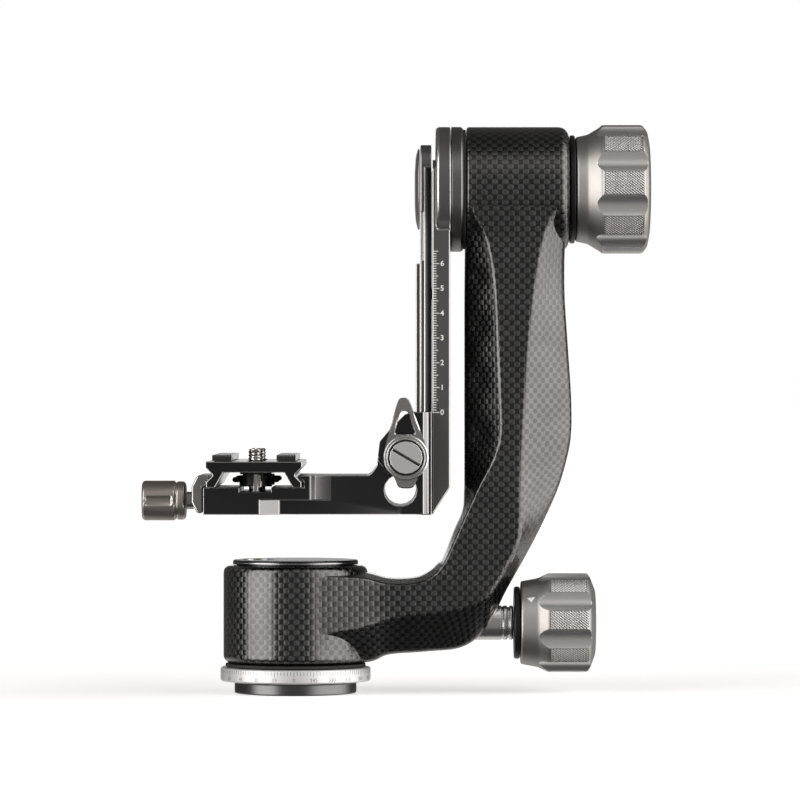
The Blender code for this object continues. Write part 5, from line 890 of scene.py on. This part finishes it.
pan_corners = [
    (pan_x + 0.0003, 0), (pan_x, 0.0043), (pan_x, 0.0168), (0.0986, 0.0181), (0.1028, 0.0201), (0.1186, 0.0201),
    (0.1198, 0.0185), (0.1219, 0.0129), (0.1219, 0)]
pan_grip = scalloped(
    "pan_grip", (0, 0, lock_z), pan_corners, 0.0008, 8, 0.0067, 0.0019, radians(28.3), (0.1035, 0.1188))
set_up("pan_grip", pan_grip, "pan_knob", "titanium_grey", knob_finishes, "pan_lock_knob")

# Small pointed mark, filled white, on the cone of the pan knob's neck. Its corners, two of them at one spot, are
# distances along the axis and turns in half widths.
neck_r, neck_slope, mark_r, mark_half, proud = 0.0168, 0.1831, 0.0177, 0.0009, 0.00006
mark_turn = np.arcsin((0.0385 - lock_z) / mark_r)
mark_along, mark_side = np.array([[(0.0955, 1.5), (0.0972, -1.1), (0.0972, -1.1), (0.0938, -1.1)]]).transpose(2, 0, 1)
mark_points = around("X", (0, 0, lock_z), mark_along, neck_r + (mark_along - pan_x) * neck_slope + proud,
                     mark_turn - mark_side * mark_half / mark_r)
set_up("pan_grip_mark", welded(marks_mesh("pan_grip_mark", mark_points)), "pan_knob", "titanium_grey", [paint])

# ----------------------------------------
# Cradle bracket: one milled piece of black anodised aluminium. Its block rides the rail, its bar reaches out,
# and the bed at the end holds the lens plate. The broken edges are painted light grey as painted highlight, the slanted
# faces by the bed that turn to the right soft box are painted lighter as painted light, and the rounds by the parting
# line beside the rail jaw stay black.
black = metal("black anodised", (0.075, 0.075, 0.078), 0.30)
# A lighter copy of the black anodising: painted light on the faces that turn to the right soft box.
black_lit = metal("black anodised, painted light", (0.24, 0.24, 0.245), 0.26)
# Light grey for rounded edges of black parts: a painted highlight.
black_edge = metal("black anodised, painted edge highlight", (0.50, 0.50, 0.51), 0.28)
broken_edges(
    "bracket_body", "cradle_bracket", 0.00035, "cradle", "dark_anodised", [black, black_lit, black_edge],
    bright=lambda x, y, z, across, out, up: (across > 0.15) & (out < -0.15) & (x < 0.018),
    dull=lambda x, y, z: (x > 0.0415) & (x < 0.0432) & (y < -0.0190))

# ----------------------------------------
# Rail clamp: a black jaw on two steel pins grips the rail's near side. A slotted silver screw draws it in when
# the titanium-coloured lever turns, against a washer and a steel nut in the bracket's far side. The jaw's near
# chamfer, which turns to the right soft box, is painted grey as painted highlight.
# Grey for the jaw's near chamfer: a painted highlight.
chamfer_highlight = metal("jaw chamfer, painted highlight", (0.30, 0.30, 0.305), 0.30)
broken_edges(
    "rail_jaw_body", "rail_jaw", 0.00030, "rail_clamp", "dark_anodised", [black, chamfer_highlight, black_edge],
    bright=lambda x, y, z, across, out, up: (across > 0.5) & (out < -0.5) & (x > 0.050),
    dull=lambda x, y, z: x < 0.0434)
finished(steel, "rail_jaw_pin_upper", "rail_jaw_pin_lower", "rail_clamp_nut")
finished(silver_turned, "lever_washer")
lever_metal = metal("lever, bead blasted", (0.40, 0.40, 0.40), 0.40, grain=2600.0, depth=0.00002)
# Near white for the lever's chamfers and rounds: a painted highlight.
lever_edge = metal("lever, painted edge highlight", (0.88, 0.88, 0.88), 0.26)
clamp_x, clamp_z = 0.0449, 0.0960
lever_half = np.array([(0.0016, 0.0240), (0.0027, 0.0218), (0.0082, 0.0048), (0.0091, 0.0000), (0.0080, -0.0046),
                       (0.0045, -0.0080), (0.0032, -0.0124)])
lever_hole = np.array([(0.0015, 0.0186), (0.0043, 0.0093), (-0.0043, 0.0093), (-0.0015, 0.0186)])
hole_middle = np.array([0.0, 0.0125])
bearings = np.linspace(-pi, pi, 241)[:-1]


def reach_of(corners, ease):
    """How far a closed outline with rounded corners lies from the hole's middle, at each bearing."""
    flat = np.column_stack([corners, np.zeros(len(corners))])[None]
    spots = rounded_rings(flat, ease, 7, 24)[0, :, :2] - hole_middle
    angle = np.arctan2(spots[:, 1], spots[:, 0])
    order = np.argsort(angle)
    return np.interp(bearings, angle[order], np.linalg.norm(spots, axis=1)[order], period=2 * pi)


# The blade is a band from its hole to its outline, carried round the hole's middle, with both rims chamfered, and
# the chamfers are painted light as painted highlight. Above the screw it leans to the left.
mirrored = lever_half[::-1] * np.array([-1, 1])
outer = reach_of(np.vstack([lever_half, mirrored]), 0.0022)
inner = reach_of(lever_hole, 0.0016)
rim = 0.0005
lean = 0.04
blade_back, blade_front = -0.0268, -0.0298
band = [(blade_back, inner, 0), (blade_front + rim, inner, 0), (blade_front, inner + rim, 1),
        (blade_front, (inner + outer) / 2, 0), (blade_front, outer - rim, 0), (blade_front + rim, outer, 1),
        (blade_back, outer, 0), (blade_back, inner, 0)]
band_points = np.stack([
    np.stack([clamp_x + hole_middle[0] + away * np.cos(bearings), depth + 0 * away,
              clamp_z + hole_middle[1] + away * np.sin(bearings)], -1) for depth, away, _ in band])
band_points[..., 0] -= lean * np.clip(band_points[..., 2] - clamp_z, 0, None)
band_chart = np.concatenate([band_points, band_points[:, :1]], 1)[..., ::2]
band_zones = np.broadcast_to(np.array([zone for _, _, zone in band[1:]])[:, None], (len(band) - 1, len(bearings)))
set_up("clamp_lever_blade", skin("clamp_lever_blade", band_points, band_chart, zones=band_zones), "clamp_lever",
       "titanium_grey", [lever_metal, lever_edge], "rail_clamp_lever")
collar_corners = [(-0.0302, 0.0030), (-0.0302, 0.0070), (-0.0309, 0.0070), (-0.0313, 0.0074), (-0.0313, 0.0076),
                  (-0.0310, 0.0078), (-0.0310, 0.0084), (-0.0313, 0.0086), (-0.0313, 0.0087), (-0.0309, 0.0091),
                  (-0.0296, 0.0091), (-0.0296, 0.0030), (-0.0302, 0.0030)]
# The collar's face, all but its groove, takes the painted highlight, and its bore and floor are painted black as
# painted shade.
collar = turned(
    "clamp_lever_collar", "Y", (clamp_x, 0, clamp_z), collar_corners, 0.0001, 96,
    lambda along, radius: np.where(radius < 0.00702, 2, (along < -0.03088) & ((radius < 0.0079) | (radius > 0.0083))))
set_up("clamp_lever_collar", collar, "clamp_lever", "titanium_grey", [lever_metal, lever_edge, black_turned])
screw_silver = metal("screw, satin silver", (0.80, 0.80, 0.80), 0.40, 0.85, depth=0.000006, mottle=0.04)
slot_dark = metal("screw slot, in shade", (0.05, 0.05, 0.05), 0.5)
# The screw's rounds take the lever's painted highlight, and its slot faces are painted dark as painted shade.
broken_edges(
    "clamp_screw", "rail_clamp_screw", 0.00018, "clamp_lever", "satin_silver", [screw_silver, slot_dark, lever_edge],
    bright=lambda x, y, z, across, out, up: (y < -0.03255) & (y > -0.03335))

# ----------------------------------------
# Plate clamp: a black sliding jaw on two pins, lighter grey on its end faces and with its rounds painted light grey
# as painted highlight, holds the lens plate's dovetail. A steel screw moves it, turned by a small gunmetal knob with
# three shallow flutes and a grooved collar.
jaw_edge = metal("jaw, painted edge highlight", (0.55, 0.55, 0.56), 0.26)
jaw_front = metal("jaw, lighter grey end", (0.42, 0.42, 0.42), 0.34)
broken_edges(
    "plate_jaw_body", "plate_jaw", 0.0008, "plate_clamp", "dark_anodised", [black, jaw_front, jaw_edge], 3,
    bright=lambda x, y, z, across, out, up: np.abs(out) > 0.9)
finished(steel, "plate_jaw_pin_near", "plate_jaw_pin_far", "plate_clamp_screw")
gunmetal = metal("gunmetal", (0.47, 0.43, 0.395), 0.42)
# A lighter gunmetal for the knob's rounds: a painted highlight.
gunmetal_edge = metal("gunmetal, painted edge highlight", (0.70, 0.68, 0.66), 0.22)
broken_edges("clamp_thumb_knob", "plate_clamp_knob", 0.0002, "clamp_knob", "titanium_grey", [gunmetal, gunmetal_edge])

# ----------------------------------------
# Lens plate: an arched dovetail plate, milled from black anodised aluminium, with a long slot and two ribbed
# rubber strips glued on its top.
plate_black = metal("lens plate, black anodised", (0.080, 0.080, 0.083), 0.18)
# Light grey for the lens plate's rounds: a painted highlight.
plate_edge = metal("lens plate, painted edge highlight", (0.75, 0.75, 0.76), 0.28)
broken_edges("lens_plate_body", "lens_plate", 0.0003, "plate", "dark_anodised", [plate_black, plate_edge])
lens_x = -0.0156
pad_low, pad_high, pad_half, rib_depth, rib_count = 0.0949, 0.0972, 0.0470, 0.0004, 13
pad_rubber = metal("ribbed rubber", (0.03, 0.03, 0.03), 0.18, 0.0, grain=5000.0, depth=0.00002, mottle=0.15)
rib_share = np.repeat(np.arange(rib_count + 1) / rib_count, 2)
crown = np.full(len(rib_share), pad_low)
crown[1:-1] = pad_high - rib_depth * (np.arange(2 * rib_count) // 2 % 2)
tall = np.stack([0 * crown + pad_low, crown, crown, 0 * crown + pad_low])
deep = np.array([-pad_half, -pad_half, pad_half, pad_half])
for side, left, right in (("left", -0.0166, -0.0090), ("right", 0.0090, 0.0166)):
    wide = lens_x + left + (right - left) * rib_share
    points = np.stack(np.broadcast_arrays(wide[None, :], deep[:, None], tall), -1)
    chart = np.concatenate([points, points[:, :1]], 1)[..., :2]
    strip = skin("grip_strip_" + side, points, chart)
    set_up("grip_strip_" + side, strip, "plate", "rubber", [pad_rubber], "grip_pad_" + side)

# ----------------------------------------
# Camera screws: each is a captive quarter-inch stud of polished steel with a black collar, which slides in the
# plate's slot on a washer and turns by a folded wire ring.
polished = metal("polished steel", (0.82, 0.82, 0.82), 0.14, depth=0.000003, mottle=0.03)
dark_steel = metal("blackened steel", (0.035, 0.035, 0.036), 0.36, 0.6)
thread_pitch, thread_depth, thread_low, thread_high = 0.00127, 0.0005, 0.0949, 0.0991
stud_r, stud_collar_r, notch_half = 0.0028, 0.0066, 0.0032


def camera_stud(name, y):
    """A stud turned round an upright axis. Over its thread the radius waves with the height less the turn's share of
    the pitch, which makes one running ridge. The collar is notched to the stud in front and behind."""
    height = np.concatenate([
        [0.08165, 0.0817, 0.0821, 0.0842, 0.0842, 0.0843, 0.0887, 0.0888, 0.0889, 0.0943],
        np.arange(0.0949, 0.0990, 0.00012), [0.0992, 0.0994, 0.0994]])
    radius = np.interp(
        height, [0.0817, 0.0821, 0.0842, 0.08421, 0.0888, 0.08881, 0.0943, 0.0949, 0.0988, 0.0994],
        [0.0024, stud_r, stud_r, stud_collar_r, stud_collar_r, stud_r, stud_r, 0.0031, 0.0031, 0.0025])
    radius[[0, -1]] = 0
    notch = np.arcsin(notch_half / stud_collar_r)
    sides = np.array([notch, pi - notch, pi + notch, 2 * pi - notch])
    turn = np.sort(np.concatenate([np.linspace(0, 2 * pi, 49), sides - 0.003, sides + 0.003]))
    threaded = (height > thread_low) & (height < thread_high)
    phase = height[:, None] / thread_pitch - turn[None, :-1] / (2 * pi)
    radius = radius[:, None] - threaded[:, None] * thread_depth * np.abs(2 * (phase % 1) - 1)
    notched = np.abs(np.sin(turn[:-1])) < np.sin(notch)
    radius = np.where((radius > 0.0060) & notched, stud_r, radius)
    points = around("Z", (lens_x, y, 0), height[:, None], radius, turn[None, :-1])
    chart = np.stack(np.broadcast_arrays(turn[None, :] * stud_collar_r, (height - height[0])[:, None]), -1)
    collar = (height[:-1] > 0.0841) & (height[:-1] < 0.08885)
    return skin(name, points, chart, zones=collar[:, None] & ~notched[None, :])


def wire_ring(name, y):
    """A round wire bent to half a circle with both ends turned in, swept by its own cross and its path's normal."""
    wire_r, bend_r, foot, sides = 0.0011, 0.0085, 0.0069, 12
    turn = np.linspace(0, pi, 33)
    path = np.vstack([[(foot, 0)], np.stack([bend_r * np.cos(turn), bend_r * np.sin(turn)], -1), [(-foot, 0)]])
    path = np.column_stack([path, np.zeros(len(path))])
    along = np.gradient(path, axis=0)
    along /= np.linalg.norm(along, axis=1, keepdims=True)
    up = np.array([0, 0, 1.0])
    out = np.cross(along, up)
    spin = np.linspace(0, 2 * pi, sides + 1)[None, :-1, None]
    points = path[:, None] + wire_r * (out[:, None] * np.cos(spin) + up * np.sin(spin))
    first, last = (np.broadcast_to(path[end], (1, sides, 3)) for end in (0, -1))
    points = np.vstack([first, points, last]) + np.array([lens_x, y, 0.0870])
    return skin(name, points, np.zeros((len(points), sides + 1, 2)))


washer_corners = ring_profile(0.0064, 0.0034, 0.0892, 0.0899)
for side, y in (("front", -0.0200), ("rear", 0.0200)):
    washer = turned("slot_washer_" + side, "Z", (lens_x, y, 0), washer_corners, 0.0001, 64)
    set_up("slot_washer_" + side, washer, side + "_slider", "steel", [dark_steel], "screw_washer_" + side)
    stud = camera_stud("camera_stud_" + side, y)
    set_up("camera_stud_" + side, stud, side + "_screw", "steel", [polished, dark_steel], "camera_screw_" + side)
    ring = wire_ring("folded_ring_" + side, y)
    set_up("folded_ring_" + side, ring, side + "_screw", "steel", [dark_steel], "screw_ring_" + side)
